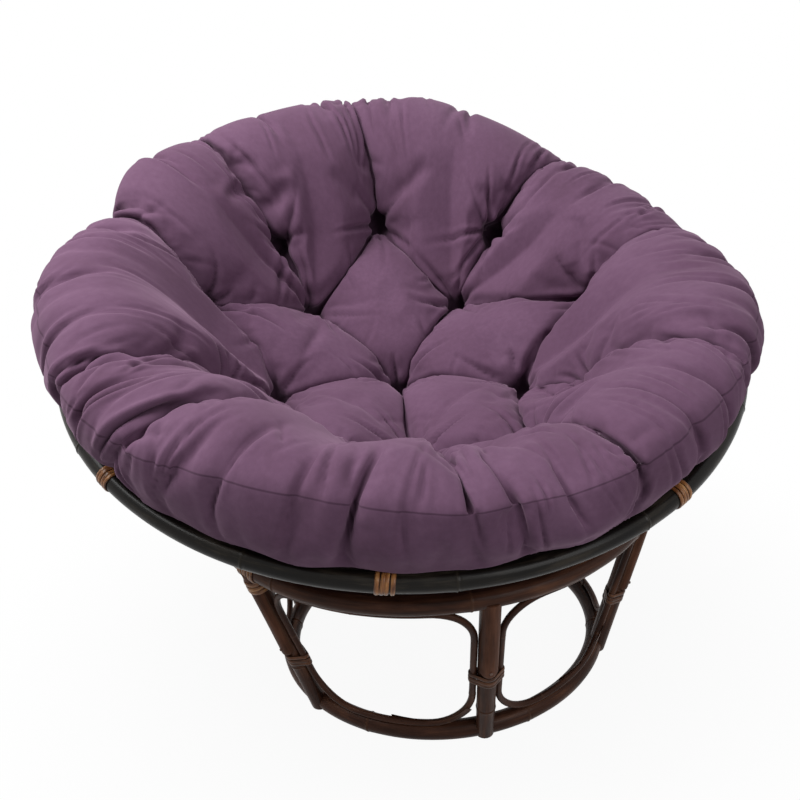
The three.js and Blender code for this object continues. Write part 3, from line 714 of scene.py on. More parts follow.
loop_line = loop_outline()
steps = np.linspace(0, 1, LOOP_FINE_STEPS, endpoint=False)[:, None]
fine_line = np.concatenate([a + (b - a) * steps for a, b in zip(loop_line[:-1], loop_line[1:])])
loop_points = on_cone(*fine_line.T)
loop_points = np.concatenate([loop_points, loop_points[:1]])
loop_places = np.concatenate([[0], np.cumsum(length_of(np.diff(loop_points, axis=0)))])
loop_length = loop_places[-1]


def loop_centre(along):
    place = np.mod(along, loop_length)
    return np.stack([np.interp(place, loop_places, values) for values in loop_points.T], -1)


def loop_route(along):
    centre = loop_centre(along)
    ahead = unit(loop_centre(along + LOOP_TANGENT_STEP) - loop_centre(along - LOOP_TANGENT_STEP))
    azimuth = np.arctan2(centre[:, 0], -centre[:, 1])
    outwards = at(cone_rise / cone_length, azimuth, -cone_run / cone_length)
    outwards = unit(outwards - (outwards * ahead).sum(1, keepdims=True) * ahead)
    return centre, outwards, np.cross(ahead, outwards)


for loop in range(LEG_COUNT):
    cane = pole(loop_route, 0, loop_length + SCARF_LENGTH, LOOP_POLE, scarf(loop_length, LOOP_POLE), LOOP_SIDES)
    axes = leg_axes(loop) @ Matrix.Rotation(math.pi / LEG_COUNT, 4, "Z")
    dress(f"window_loop_{loop + 1}", cane, axes, "stand", stand_cane)
print("loop length", round(loop_length / MM), "mm")

# %% [markdown]
# ## Lashings
# A lashing is one strip of peel, wound round and round and tucked under itself. So each is drawn as a single strip
# along a helix, flat inside and crowned outside. Round one pole the helix is round. Round a leg and the sides of
# its two windows it follows the tight outline of three circles.

# %% Lashings
RIM_PEEL_WIDTH = 6 * MM
PEEL_THICKNESS = 2.0 * MM
RIM_BINDING_TURNS = 4
RING_WRAP_TURNS = 6
HEAD_WRAP_TURNS = 3
WRAPPED_LEG = 5
STEPS_PER_TURN = 40
STRIP_END_STEPS = 4
STRIP_END_SHARE = 0.4
STRIP_UNEVEN = (0.05, 5.1)  # share of the width, steps to a radian
STRIP_WANDER = (0.12, 0.61)  # share of the width, waves to a turn
STRIP_EDGE_SHADE = (1.15, 1.4)  # painted shade at the strip's foot, and how much less at its crown
LASHING_SEAT_SHARE = 1.01
STRIP_SECTION = np.array([
    [-0.46, 0.0], [-0.49, 0.35], [-0.4, 0.72], [-0.22, 0.93], [0, 1], [0.22, 0.93], [0.4, 0.72], [0.49, 0.35],
    [0.46, 0.0], [0, -0.1]])
STRIP_STARTS = (0, 6)
LEG_STRIP_START = math.radians(250)
RIM_STRIP_START = math.radians(230)
WRAP_STRIP_START = math.radians(60)


def line_places(points):
    """How far along a line of points each of them is."""
    return np.concatenate([[0], np.cumsum(length_of(np.diff(points, axis=0)))])


def strip(centre, outwards, width):
    """A strip of peel along a line, with its crowned side outwards."""
    across = unit(np.cross(outwards, unit(np.gradient(centre, axis=0))))
    step = np.arange(len(centre))
    taper = np.clip(STRIP_END_SHARE + np.minimum(step, step[::-1]) / STRIP_END_STEPS, 0, 1)[:, None]
    uneven_share, uneven_steps = STRIP_UNEVEN
    uneven = 1 + uneven_share * np.sin(step / uneven_steps + chance.uniform(*STRIP_STARTS))[:, None]
    side = STRIP_SECTION[:, 0] * width * taper * uneven
    proud = STRIP_SECTION[:, 1] * PEEL_THICKNESS * taper
    points = centre[:, None] + proud[..., None] * outwards[:, None] + side[..., None] * across[:, None]
    along = line_places(centre) + chance.uniform(*GRAIN_STARTS)
    grain = np.stack([np.broadcast_to(along[:, None], side.shape), side, proud], -1)
    # Painted shade: the strip is darkened at its foot, where it meets the next turn, and not at its crown.
    foot_shade, less = STRIP_EDGE_SHADE
    edge = np.broadcast_to(np.clip(foot_shade - STRIP_SECTION[:, 1] * less, 0, 1), side.shape)
    return skin(points[:, ::-1], grain[:, ::-1], edge[:, ::-1])


def helix(turns, width):
    """Turn angles, and places along the lashing, of a strip that is wound side by side."""
    angle = np.linspace(0, 2 * np.pi * turns, turns * STEPS_PER_TURN + 1)
    share, waves = STRIP_WANDER
    wander = share * width * np.sin(angle * waves + chance.uniform(*STRIP_STARTS))
    return angle, width * (angle / (2 * np.pi) - turns / 2) + wander


def ring_lashing(radius, height, turns, width, start_angle):
    angle, along = helix(turns, width)
    angle = angle + start_angle
    azimuth = along / radius
    outwards = np.cos(angle)[:, None] * at(1, azimuth, 0) + np.sin(angle)[:, None] * np.array([0, 0, 1.0])
    return strip(at(radius, azimuth, height) + outwards * (RING_POLE * LASHING_SEAT_SHARE), outwards, width)


def tight_outline(circles, angle):
    """Points and outward directions of the outline drawn tight round circles given as (x, y, radius)."""
    circles = np.array(circles)
    towards = np.stack([np.cos(angle), np.sin(angle)], -1)
    reach = towards @ circles[:, :2].T + circles[:, 2]
    touched = circles[reach.argmax(-1)]
    return touched[:, :2] + towards * touched[:, 2:], towards


def hull_lashing(circles, rise, turns, width):
    """A lashing round poles that run along a leg."""
    angle, along = helix(turns, width)
    outline, towards = tight_outline(circles, angle + LEG_STRIP_START)
    wound = line_places(outline)
    even = np.linspace(0, wound[-1], len(wound) * 2)
    flat, out = [np.stack([np.interp(even, wound, values) for values in some.T], -1) for some in (outline, towards)]
    sideways_and_out = np.stack([leg_across, leg_outwards])
    climb = np.interp(even, wound, along) + rise
    return strip(leg_foot + climb[:, None] * leg_up + flat @ sideways_and_out, unit(out) @ sideways_and_out, width)


def loops_beside_leg(rise):
    """How far beside a leg, and how far out from it, the sides of its two loops lie."""
    point = on_cone(-loop_half_width(rise), rise)
    turned = placed(point, Matrix.Rotation(math.pi / LEG_COUNT, 4, "Z")) - leg_foot
    return abs(turned @ leg_across), turned @ leg_outwards


for leg in range(LEG_COUNT):
    rise = leg_length * BINDING_RISE_SHARES[leg]
    side, proud = loops_beside_leg(rise)
    circles = [(0, 0, LEG_POLE), (side, proud, LOOP_POLE), (-side, proud, LOOP_POLE)]
    lashing = hull_lashing(circles, rise, LEG_BINDING_TURNS, LEG_PEEL_WIDTH)
    dress(f"leg_binding_{leg + 1}", lashing, leg_axes(leg), "stand", stained_peel)

on_ring = ring_lashing(TOP_RING_RADIUS, TOP_RING_HEIGHT, RING_WRAP_TURNS, RIM_PEEL_WIDTH, WRAP_STRIP_START)
head_rise = leg_length - RING_POLE - HEAD_WRAP_TURNS * LEG_PEEL_WIDTH / 2
head_circles = [(0, 0, LEG_POLE), (0, flat_offset + SPLINT_THICKNESS - SPLINT_WIDTH / 2, SPLINT_WIDTH / 2)]
on_head = hull_lashing(head_circles, head_rise, HEAD_WRAP_TURNS, LEG_PEEL_WIDTH)
dress("top_ring_wrap", joined(on_ring, on_head), leg_axes(WRAPPED_LEG), "stand", tan_peel)
print("leg lashings at", [round(leg_length * share / MM) for share in BINDING_RISE_SHARES], "mm along the legs")

# %% [markdown]
# ## The bowl
# Eight bent ribs run from the rim down to a small hoop, and a larger hoop ties them half way. The ribs lie outside
# the hoops, on a ball about the tilt centre, so that the bowl rolls on the stand's top ring.

# %% The bowl
RIB_COUNT = 8
RIB_POLE = 10 * MM
RIB_SIDES = 16
HOOP_POLE = 9 * MM
BOWL_DEPTH = 301 * MM
MID_HOOP_RADIUS = 350 * MM
BOTTOM_HOOP_RADIUS = 120 * MM
RIB_TAIL = 22 * MM
rim_plane_depth = (RIM_RADIUS ** 2 - BOWL_DEPTH ** 2) / (2 * BOWL_DEPTH)
rib_ball = rim_plane_depth + BOWL_DEPTH
hoop_ball = rib_ball - RIB_POLE - FIT_GAP - HOOP_POLE


def rib_route(along):
    polar = along / rib_ball
    outwards = at(np.sin(polar), 0, -np.cos(polar))
    return outwards * rib_ball, outwards, np.broadcast_to([1.0, 0, 0], outwards.shape)


rib_start = rib_ball * math.asin(BOTTOM_HOOP_RADIUS / hoop_ball) - RIB_TAIL
rib_end = rib_ball * math.asin(RIM_RADIUS / rib_ball)
for rib in range(RIB_COUNT):
    axes = bowl_axes @ Matrix.Rotation(FIRST_RIB_AZIMUTH + 2 * math.pi * rib / RIB_COUNT, 4, "Z")
    cane = pole(rib_route, rib_start, rib_end, RIB_POLE, sides=RIB_SIDES)
    dress(f"rib_{rib + 1}", cane, axes, "bowl", bowl_cane)
    lashing = ring_lashing(RIM_RADIUS, -rim_plane_depth, RIM_BINDING_TURNS, RIM_PEEL_WIDTH, RIM_STRIP_START)
    dress(f"rim_binding_{rib + 1}", lashing, axes, "bowl", tan_peel)

for node, radius, start_degrees in (("mid_hoop", MID_HOOP_RADIUS, 40), ("bottom_hoop", BOTTOM_HOOP_RADIUS, 100)):
    hoop = ring(radius, -math.sqrt(hoop_ball ** 2 - radius ** 2), HOOP_POLE, start_degrees, RIB_SIDES)
    dress(node, hoop, bowl_axes, "bowl", bowl_cane)
dress("rim_ring", ring(RIM_RADIUS, -rim_plane_depth, RING_POLE, 196), bowl_axes, "bowl", bowl_cane)
print("rib length", round((rib_end - rib_start) / MM), "mm, rim plane", round(rim_plane_depth / MM), "mm below")

# %% [markdown]
# ## The cushion: how it is sewn
# The cover is a round top panel, a boxing band and a round bottom panel, stuffed with loose filling. Twine is sewn
# through at sixteen tufts: one in the middle, five round it and ten in an outer ring. The tufts draw top and bottom
# together, and the filling swells up between them as lobes. Creases run from tuft to tuft and from the outer tufts
# to the seam. Places on the top are laid out flat, in the plane of the rim, and then lifted.

# %% The cushion's plan
CUSHION_OVERHANG = 11 * MM
BOXING_HEIGHT = 106 * MM
BOXING_BULGE = 12 * MM
STITCHED_THICKNESS = 90 * MM
LOBE_LOFT = 57 * MM
MIDDLE_TUFT = (176, 0.05)
INNER_TUFTS = [(-11, 0.41), (67, 0.39), (138, 0.425), (210, 0.445), (271, 0.41)]
OUTER_TUFT_AZIMUTHS = [-10, 19, 46, 92, 134, 173, 209, 242, 290, 320]
OUTER_TUFT_RADIUS_SHARE = 0.655
SEAM_CREASE_AZIMUTHS = [-6, 18, 46, 91, 126, 175, 210, 237, 291, 308]
OUTER_LOBE_FULLNESS_SHARES = [0.1, 0.55, 0.85, 0.75, 0.95, 0.95, 0.75, 0.88, 0.72, 0.38]
OUTER_LOBE_SKEWS = [0, 0, 0, 0, 0, 0, 0, 1.4, 0.3, 0]
CREASE_DRAW_SHARES = [0.3, 0.3, 0.3, 0.3, 0, -0.2, 0.3, 1.8, 0.3, 0.2]
CREASE_DRAW = 20 * MM
SIDE_LEAN = 9 * MM
SLUMP_DROP = 60 * MM
SLUMP_DRAW = 25 * MM
SLUMP_AZIMUTHS = (50, 104, 122, 162)
HEM_DRAW = 10 * MM
HEM_DIP = 14 * MM
HEM_DIP_AZIMUTHS = (-65, 35)
HEM_DIP_HALF_WIDTH = 9
HEM_WAVE = 2.5 * MM
HEM_WAVE_COUNTS = (17, 29)
CREASE_FULLNESS_SHARE = 0.46
SEAM_CREASE_FULLNESS_SHARES = [0.3, 0.3, 0.5, 0.3, 0.3, 0.3, 0.3, 0.2, 0.45, 0.75]
BOXING_PINCH_SHARE = 0.8
LOBE_ROUNDING_SHARE = 0.5
CREST_SHIFT = 1.45
CORNER_ROUNDING_SHARE = 0.5

EDGE_DRAW_POWER = 1.5
NEARLY_NOTHING = 1e-9  # keeps a division by a length finite

cushion_edge = RIM_RADIUS + CUSHION_OVERHANG
hem_radius = cushion_edge + BOXING_HEIGHT
bed_ball = hoop_ball - HOOP_POLE - FIT_GAP
tuft_ball = bed_ball - STITCHED_THICKNESS
outer_tuft_radius = OUTER_TUFT_RADIUS_SHARE * cushion_edge
rim_top = RING_POLE + 2.4 * MM + FIT_GAP
seam_height = rim_top + BOXING_HEIGHT
shoulder_width = cushion_edge - outer_tuft_radius


def ball_height(radius, ball):
    """Height over the rim's plane of a point on a ball about the tilt centre."""
    return rim_plane_depth - np.sqrt(ball ** 2 - radius ** 2)


shoulder_rise = seam_height - ball_height(outer_tuft_radius, tuft_ball)


def flat_at(radius, azimuth):
    return at(radius, azimuth, 0)[..., :2]


def azimuth_of(flat):
    return np.arctan2(flat[..., 0], -flat[..., 1])


def tuft_place(azimuth_degrees, radius_share):
    return flat_at(radius_share * cushion_edge, math.radians(azimuth_degrees))


middle_tuft = tuft_place(*MIDDLE_TUFT)
inner_tufts = [tuft_place(*tuft) for tuft in INNER_TUFTS]
outer_tufts = [tuft_place(azimuth, OUTER_TUFT_RADIUS_SHARE) for azimuth in OUTER_TUFT_AZIMUTHS]
all_tufts = [middle_tuft, *inner_tufts, *outer_tufts]


def on_top(flat, fullness):
    """Lifts flat places to where the stitching would leave the top, and from there by a share of the loft."""
    radius = np.maximum(length_of(flat), NEARLY_NOTHING)
    height = ball_height(np.minimum(radius, outer_tuft_radius), tuft_ball)
    slope = radius / (rim_plane_depth - height)
    turn = np.pi / 2 * (radius - outer_tuft_radius) / shoulder_width
    beyond = radius > outer_tuft_radius
    height = np.where(beyond, height + shoulder_rise * np.sin(turn), height)
    slope = np.where(beyond, np.pi / 2 * shoulder_rise / shoulder_width * np.cos(turn), slope)
    lift = LOBE_LOFT * fullness / np.hypot(1, slope)
    drawn_in = flat * ((radius - lift * slope) / radius)[..., None]
    return np.concatenate([drawn_in, (height + lift - rim_plane_depth)[..., None]], -1)


def smooth_step(value, start, end):
    share = np.clip((value - start) / (end - start), 0, 1)
    return share * share * (3 - 2 * share)


def slumped(points, azimuth, crease, rise):
    """The cushion has slumped at its right back, and its seam is drawn in where a crease meets it. rise is how much
    of that reaches a point: all of it at the upper seam, nothing at the outer tufts and the lower seam."""
    turn = np.degrees(azimuth) % 360
    start, full, fading, end = SLUMP_AZIMUTHS
    slump = smooth_step(turn, start, full) * (1 - smooth_step(turn, fading, end))
    draw = (SLUMP_DRAW * slump + CREASE_DRAW * crease) * rise
    drop = (SLUMP_DROP * slump + CREASE_DRAW * crease) * rise
    radius = np.maximum(length_of(points[..., :2]), NEARLY_NOTHING)
    flat = points[..., :2] * (1 - draw / radius)[..., None]
    flat[..., 0] -= SIDE_LEAN * rise
    return np.concatenate([flat, (points[..., 2] - drop)[..., None]], -1)


def hem_draw(azimuth):
    """How far the lower seam lies inside the upper one. On either side it has crept further into the bowl."""
    draw = np.full(np.shape(azimuth), HEM_DRAW)
    for place in HEM_DIP_AZIMUTHS:
        away = (np.degrees(azimuth) - place + 180) % 360 - 180
        draw = draw + HEM_DIP * np.exp(-(away / HEM_DIP_HALF_WIDTH) ** 2)
    first, second = HEM_WAVE_COUNTS
    return draw + HEM_WAVE * (np.sin(first * azimuth + 1) + np.sin(second * azimuth))


def beside_crease(values, lobe, u):
    """The value of the seam crease that is nearer, for places across an outer lobe."""
    return np.where(u < 0.5, values[lobe], values[(lobe + 1) % len(values)])


def crease_draw(lobe, u):
    """How much of the crease beside it reaches a place across a lobe."""
    return beside_crease(CREASE_DRAW_SHARES, lobe, u) * (1 - np.sin(np.pi * u))


print("seam", round(seam_height / MM), "mm over the rim, outer tufts", round(outer_tuft_radius / MM), "mm out")

# %% [markdown]
# ## The cushion: its lobes
# Each inner lobe is a diamond between the middle tuft, two inner tufts and an outer one. Each outer lobe starts from
# the V of creases between two outer tufts and an inner one, and runs out to the seam. A lobe's fullness is nothing
# at its tufts, a little along its creases and most in its middle. Below the seam the boxing bulges between the
# creases, and the bottom panel lies in the bowl.

# %% The cushion's lobes
CREASE_STEPS = 26
LOBE_ROWS = 40
BOXING_ROWS = 16
BED_SHARE = 0.905
HEM_DRAW_SHARE = 0.9
SHOULDER_INSET = 0.7 * RING_POLE
lobe_columns = 2 * CREASE_STEPS
column_count = lobe_columns * len(outer_tufts)


def net(columns, rows):
    """Shares from 0 to 1 across and along a panel."""
    return np.meshgrid(np.linspace(0, 1, columns + 1), np.linspace(0, 1, rows + 1), indexing="ij")


def following(places, number):
    """The place after one of a ring of places."""
    return places[(number + 1) % len(places)]


def belly(across, along):
    return np.maximum(0, across * along) ** LOBE_ROUNDING_SHARE


def inner_lobe(lobe):
    u, v = net(CREASE_STEPS, CREASE_STEPS)
    near = middle_tuft + (following(inner_tufts, lobe) - middle_tuft) * u[..., None]
    far = inner_tufts[lobe] + (outer_tufts[2 * lobe + 1] - inner_tufts[lobe]) * u[..., None]
    flat = near + (far - near) * v[..., None]
    across, along = np.sin(np.pi * u), np.sin(np.pi * v)
    crease = across * np.cos(np.pi * v) ** 2 + along * np.cos(np.pi * u) ** 2
    return flat, on_top(flat, CREASE_FULLNESS_SHARE * crease + belly(across, along))


def edge_azimuth(lobe, u):
    start, end = math.radians(SEAM_CREASE_AZIMUTHS[lobe]), math.radians(following(SEAM_CREASE_AZIMUTHS, lobe))
    return start + (end - start) % (2 * math.pi) * u


def outer_lobe(lobe):
    u, v = net(lobe_columns, LOBE_ROWS)
    start, end = outer_tufts[lobe], following(outer_tufts, lobe)
    inner = inner_tufts[math.ceil(lobe / 2) % len(inner_tufts)]
    first = start + (inner - start) * (2 * u)[..., None]
    second = inner + (end - inner) * (2 * u - 1)[..., None]
    crease_line = np.where((u < 0.5)[..., None], first, second)
    bend = np.stack([(1 - u) ** 2, 2 * u * (1 - u), u ** 2], -1) @ np.stack([start, inner, end])
    line = crease_line + (bend - crease_line) * smooth_step(v, 0, CORNER_ROUNDING_SHARE)[..., None]
    edge = flat_at(cushion_edge, edge_azimuth(lobe, u))
    flat = line + (edge - line) * v[..., None]
    across, along = np.sin(np.pi * u), np.sin(np.pi * v)
    crest = np.sin(np.pi * v ** CREST_SHIFT)
    skewed = np.sin(np.pi * u ** (1 + OUTER_LOBE_SKEWS[lobe] * (1 - v)))
    inner_crease = np.abs(np.sin(2 * np.pi * u)) * np.cos(np.pi / 2 * v) ** 2
    seam_crease = beside_crease(SEAM_CREASE_FULLNESS_SHARES, lobe, u) * along * np.cos(np.pi * u) ** 2
    fullness = OUTER_LOBE_FULLNESS_SHARES[lobe] * belly(skewed, crest)
    fullness += CREASE_FULLNESS_SHARE * inner_crease + seam_crease
    rise = smooth_step(length_of(flat), outer_tuft_radius, cushion_edge)
    return flat, slumped(on_top(flat, fullness), azimuth_of(flat), crease_draw(lobe, u), rise)


def boxing(lobe):
    u, down = net(lobe_columns, BOXING_ROWS)
    share = 1 - down
    azimuth = edge_azimuth(lobe, u)
    pinch = 1 - BOXING_PINCH_SHARE * (1 - np.sin(np.pi * u))
    bulge = BOXING_BULGE * np.sin(np.pi * share) * pinch
    radius = cushion_edge + bulge - hem_draw(azimuth) * down ** EDGE_DRAW_POWER
    points = at(radius, azimuth, rim_top + BOXING_HEIGHT * share - rim_plane_depth)
    flat = flat_at(cushion_edge + BOXING_HEIGHT * down, azimuth)
    return flat, slumped(points, azimuth, crease_draw(lobe, u), share)


def bottom_panel():
    """A square net of points drawn out to a disc, so that no fold of the net is pinched in the middle."""
    half = column_count // 8
    a, b = np.meshgrid(np.arange(-half, half + 1), np.arange(-half, half + 1), indexing="ij")
    step = np.maximum(np.abs(a), np.abs(b))
    safe = np.maximum(step, 1)
    lap = np.select(
        [(a == step) & (b > -step), (b == step) & (a < step), (a == -step) & (b < step)],
        [b / safe + 1, 3 - a / safe, 5 - b / safe], a / safe + 7) % 8
    columns = lap / 8 * column_count
    lobe = np.minimum(columns // lobe_columns, len(outer_tufts) - 1).astype(int)
    azimuth = np.vectorize(edge_azimuth)(lobe, columns / lobe_columns - lobe)
    share = step / half
    radius = cushion_edge * share
    bed_end = BED_SHARE * cushion_edge
    on_bed = ball_height(np.minimum(radius, bed_end), bed_ball)
    bed_end_height = ball_height(bed_end, bed_ball)
    up_to_rim = np.clip((radius - bed_end) / (RIM_RADIUS - SHOULDER_INSET - bed_end), 0, 1)
    height = np.where(radius > bed_end, bed_end_height + (rim_top - bed_end_height) * up_to_rim, on_bed)
    drawn = radius - hem_draw(azimuth) * smooth_step(share, HEM_DRAW_SHARE, 1)
    return flat_at(radius, azimuth), at(drawn, azimuth, height - rim_plane_depth)


print("cushion columns:", column_count)

# %% [markdown]
# ## The cushion: one skin of panels
# The lobes and the boxing meet along shared rows of points, so they are merged to one skin, open underneath. Each
# point carries its place on the flat cloth, for the weave, and its distance from the nearest seam. Below the seam
# the flat place simply runs on outwards, so one pair of values says how far round and how far out a point is.

# %% One skin of panels
MERGE_STEP = 0.02 * MM


def grid_faces(rows, columns):
    row, column = np.meshgrid(np.arange(rows - 1), np.arange(columns - 1), indexing="ij")
    a = (row * columns + column).ravel()
    return np.stack([a, a + 1, a + columns + 1, a + columns], 1)


def merged(panels):
    """One skin from panels given as (flat places, points)."""
    faces, count = [], 0
    for flat, points in panels:
        faces.append(grid_faces(*points.shape[:2]) + count)
        count += points.shape[0] * points.shape[1]
    flat, points = [np.concatenate([some.reshape(-1, some.shape[-1]) for some in part]) for part in zip(*panels)]
    keys = np.round(points / MERGE_STEP).astype(np.int64)
    first, same = np.unique(keys, axis=0, return_index=True, return_inverse=True)[1:]
    return points[first], flat[first], same.ravel()[np.concatenate(faces)]


top_panels = [inner_lobe(lobe) for lobe in range(len(inner_tufts))]
for lobe in range(len(outer_tufts)):
    top_panels += [outer_lobe(lobe), boxing(lobe)]
cover_points, cover_flat, cover_faces = merged(top_panels)
under_points, under_flat, under_faces = merged([bottom_panel()])
print("cover:", len(cover_points), "points above,", len(under_points), "underneath")


# %% [markdown]
# ## The cushion: folds
# The bowl squeezes a flat round cushion into a hollow, so the cover is too long round the rim and lies in folds
# there, from the crest of a lobe down to the lower seam. Deep ones lie where the photograph shows them and smaller
# ones fall between by chance. These are the broad folds. The sharp ones come after the cloth has settled.

# %% Folds drawn into the skin
DEEP_RIM_FOLDS = [  # azimuth in degrees, depth and half width in millimetres, lean in degrees from crest to hem
    (-69, 12, 8, -6), (-61, 10, 7, -8), (-52, 12, 8, -13), (-44, 5, 7, -9), (-37, 6, 7, -6), (-28, 4, 7, -4),
    (-20, 12, 8, -3), (-13, 4, 6, -2), (-6, 5, 7, 2), (0, 9, 8, 3), (8, 3, 8, 2), (17, 8, 8, 3),
    (28, 6, 8, 3), (36, 4, 8, 3), (45, 6, 7, 4), (50, 10, 8, 5), (62, 4, 9, 2), (74, 5, 9, 2),
    (83, 6, 9, 0), (101, 5, 9, 0), (112, 6, 10, 0), (122, 8, 10, 0), (148, 5, 10, 0), (167, 7, 8, 0), (171, 6, 7, 0),
    (177, 7, 7, 0), (182, 7, 8, 0), (197, 5, 10, 0), (222, 6, 10, 0), (235, 7, 9, 0), (248, 8, 9, 0), (255, 6, 9, 0),
    (268, 4, 9, 0), (281, 6, 9, 2)]
SMALL_RIM_FOLDS = 46
SMALL_FOLD_DEPTH = (1.5, 4.5)
SMALL_FOLD_HALF_WIDTH = (5, 9)
SMALL_FOLD_LEAN = (-4, 4)
RIM_FOLD_START = -135 * MM
RIM_FOLD_START_SHARES = (0.6, 1.1)
RIM_FOLD_FULL_SHARE = 0.35
RIM_FOLD_END_SHARES = (0.75, 0.98)
RIM_FOLD_WANDER = 0.012
fold_chance = np.random.default_rng(21)


def skin_normals(points, faces):
    corners = points[faces]
    face_normals = np.cross(corners[:, 2] - corners[:, 0], corners[:, 3] - corners[:, 1])
    normals = np.zeros_like(points)
    for corner in range(4):
        np.add.at(normals, faces[:, corner], face_normals)
    return normals / np.maximum(np.linalg.norm(normals, axis=1, keepdims=True), 1e-12)


def rim_folds(flat):
    """Depth of the folds that run over the rim's roll."""
    radius = length_of(flat)
    azimuth = azimuth_of(flat)
    beyond = radius - cushion_edge
    small = zip(*[fold_chance.uniform(*pair, SMALL_RIM_FOLDS) for pair in (
        (-180, 180), SMALL_FOLD_DEPTH, SMALL_FOLD_HALF_WIDTH, SMALL_FOLD_LEAN)])
    depth = np.zeros(len(flat))
    for place, fold_depth, half_width, lean in [*DEEP_RIM_FOLDS, *small]:
        start = RIM_FOLD_START * fold_chance.uniform(*RIM_FOLD_START_SHARES)
        down = np.clip((beyond - start) / (BOXING_HEIGHT - start), 0, 1)
        line = math.radians(place) + np.radians(lean) * (down - 0.5) + RIM_FOLD_WANDER * np.sin(7 * down + place)
        away = (azimuth - line + np.pi) % (2 * np.pi) - np.pi
        across = away * np.minimum(radius, cushion_edge) / (half_width * MM)
        depth += fold_depth * MM * np.exp(-across ** 2) * smooth_step(beyond, start, start * RIM_FOLD_FULL_SHARE)
    return depth * (1 - smooth_step(beyond, *[share * BOXING_HEIGHT for share in RIM_FOLD_END_SHARES]))


def crease_lines():
    """Both ends of every crease between two tufts."""
    lines = [(middle_tuft, tuft) for tuft in inner_tufts]
    for i, tuft in enumerate(inner_tufts):
        lines += [(tuft, outer_tufts[(2 * i + k) % len(outer_tufts)]) for k in (-1, 0, 1)]
    return lines


def seam_crease_lines():
    """Both ends of every crease from an outer tuft to the seam."""
    ends = [flat_at(cushion_edge, math.radians(azimuth)) for azimuth in SEAM_CREASE_AZIMUTHS]
    return list(zip(outer_tufts, ends))


def beside_line(flat, start, end):
    """Place along a line in shares of its length, and distance from it."""
    run = end - start
    length = length_of(run)
    along = np.clip((flat - start) @ run / length, 0, length)
    foot = start + along[:, None] * run / length
    return along / length, length_of(flat - foot)


fold_depth = rim_folds(cover_flat)
cover_points = cover_points - fold_depth[:, None] * skin_normals(cover_points, cover_faces)
print("deepest fold", round(fold_depth.max() / MM, 1), "mm")

# %% [markdown]
# ## The cushion: letting the cloth settle
# Drawn folds look drawn. A cloth simulation turns them into folds of real cloth. The cover is cut a few per cent too
# large, blown up from inside, and held at the tufts, at the lower seam and softly along the creases, so it swells
# and buckles where it has cloth to spare. No point may go further than a cap from where it started.

# %% Letting the cloth settle
SETTLE_FRAMES = 20
FILLING_PRESSURE = 10
SPARE_CLOTH_SHARE = 0.045
RIM_SPARE_CLOTH_SHARE = 0.04
SETTLE_CAP = 24 * MM
TUFT_STITCH_RADIUS = 8 * MM
CREASE_HOLD_WIDTH = 3 * MM
HEM_HOLD_WIDTH = 2 * MM
CREASE_SLACK = 0.88
SEAM_CREASE_SLACK = 0.75
SPARE_CLOTH_RADII = (300 * MM, 500 * MM)
STILL_BOXING_SHARE = 0.35
CLOTH_SETTINGS = {
    "quality": 6, "mass": 0.3, "tension_stiffness": 20, "compression_stiffness": 10, "shear_stiffness": 6,
    "bending_stiffness": 0.4, "use_pressure": True, "uniform_pressure_force": FILLING_PRESSURE,
    "vertex_group_mass": "hold", "shrink_min": -SPARE_CLOTH_SHARE}


def hold_weights(flat):
    """How firmly each point is held, from 0 to 1."""
    hold = np.zeros(len(flat))
    for start, end in crease_lines():
        share, away = beside_line(flat, start, end)
        hold = np.maximum(hold, np.where(away < CREASE_HOLD_WIDTH, 1 - CREASE_SLACK * np.sin(np.pi * share), 0))
    for tuft in all_tufts:
        hold = np.where(length_of(flat - tuft) < TUFT_STITCH_RADIUS, 1, hold)
    for start, end in seam_crease_lines():
        share, away = beside_line(flat, start, end)
        hold = np.maximum(hold, np.where(away < CREASE_HOLD_WIDTH, 1 - SEAM_CREASE_SLACK * share, 0))
    return np.where(length_of(flat) > hem_radius - HEM_HOLD_WIDTH, 1, hold)


def cloth_piece(name, points, flat, faces, above):
    seam = np.abs(length_of(flat) - cushion_edge)
    cloth = np.concatenate([flat, np.zeros((len(flat), 1))], 1)
    return in_scene(name, mesh_of(
        name, placed(points, bowl_axes), faces.tolist(), cloth=cloth, seam=seam, above=np.full(len(flat), above)))


def read_points(mesh, name="co"):
    values = np.empty(len(mesh.vertices) * 3)
    mesh.vertices.foreach_get(name, values)
    return values.reshape(-1, 3)


def write_points(mesh, points):
    mesh.vertices.foreach_set("co", points.ravel())
    mesh.update()


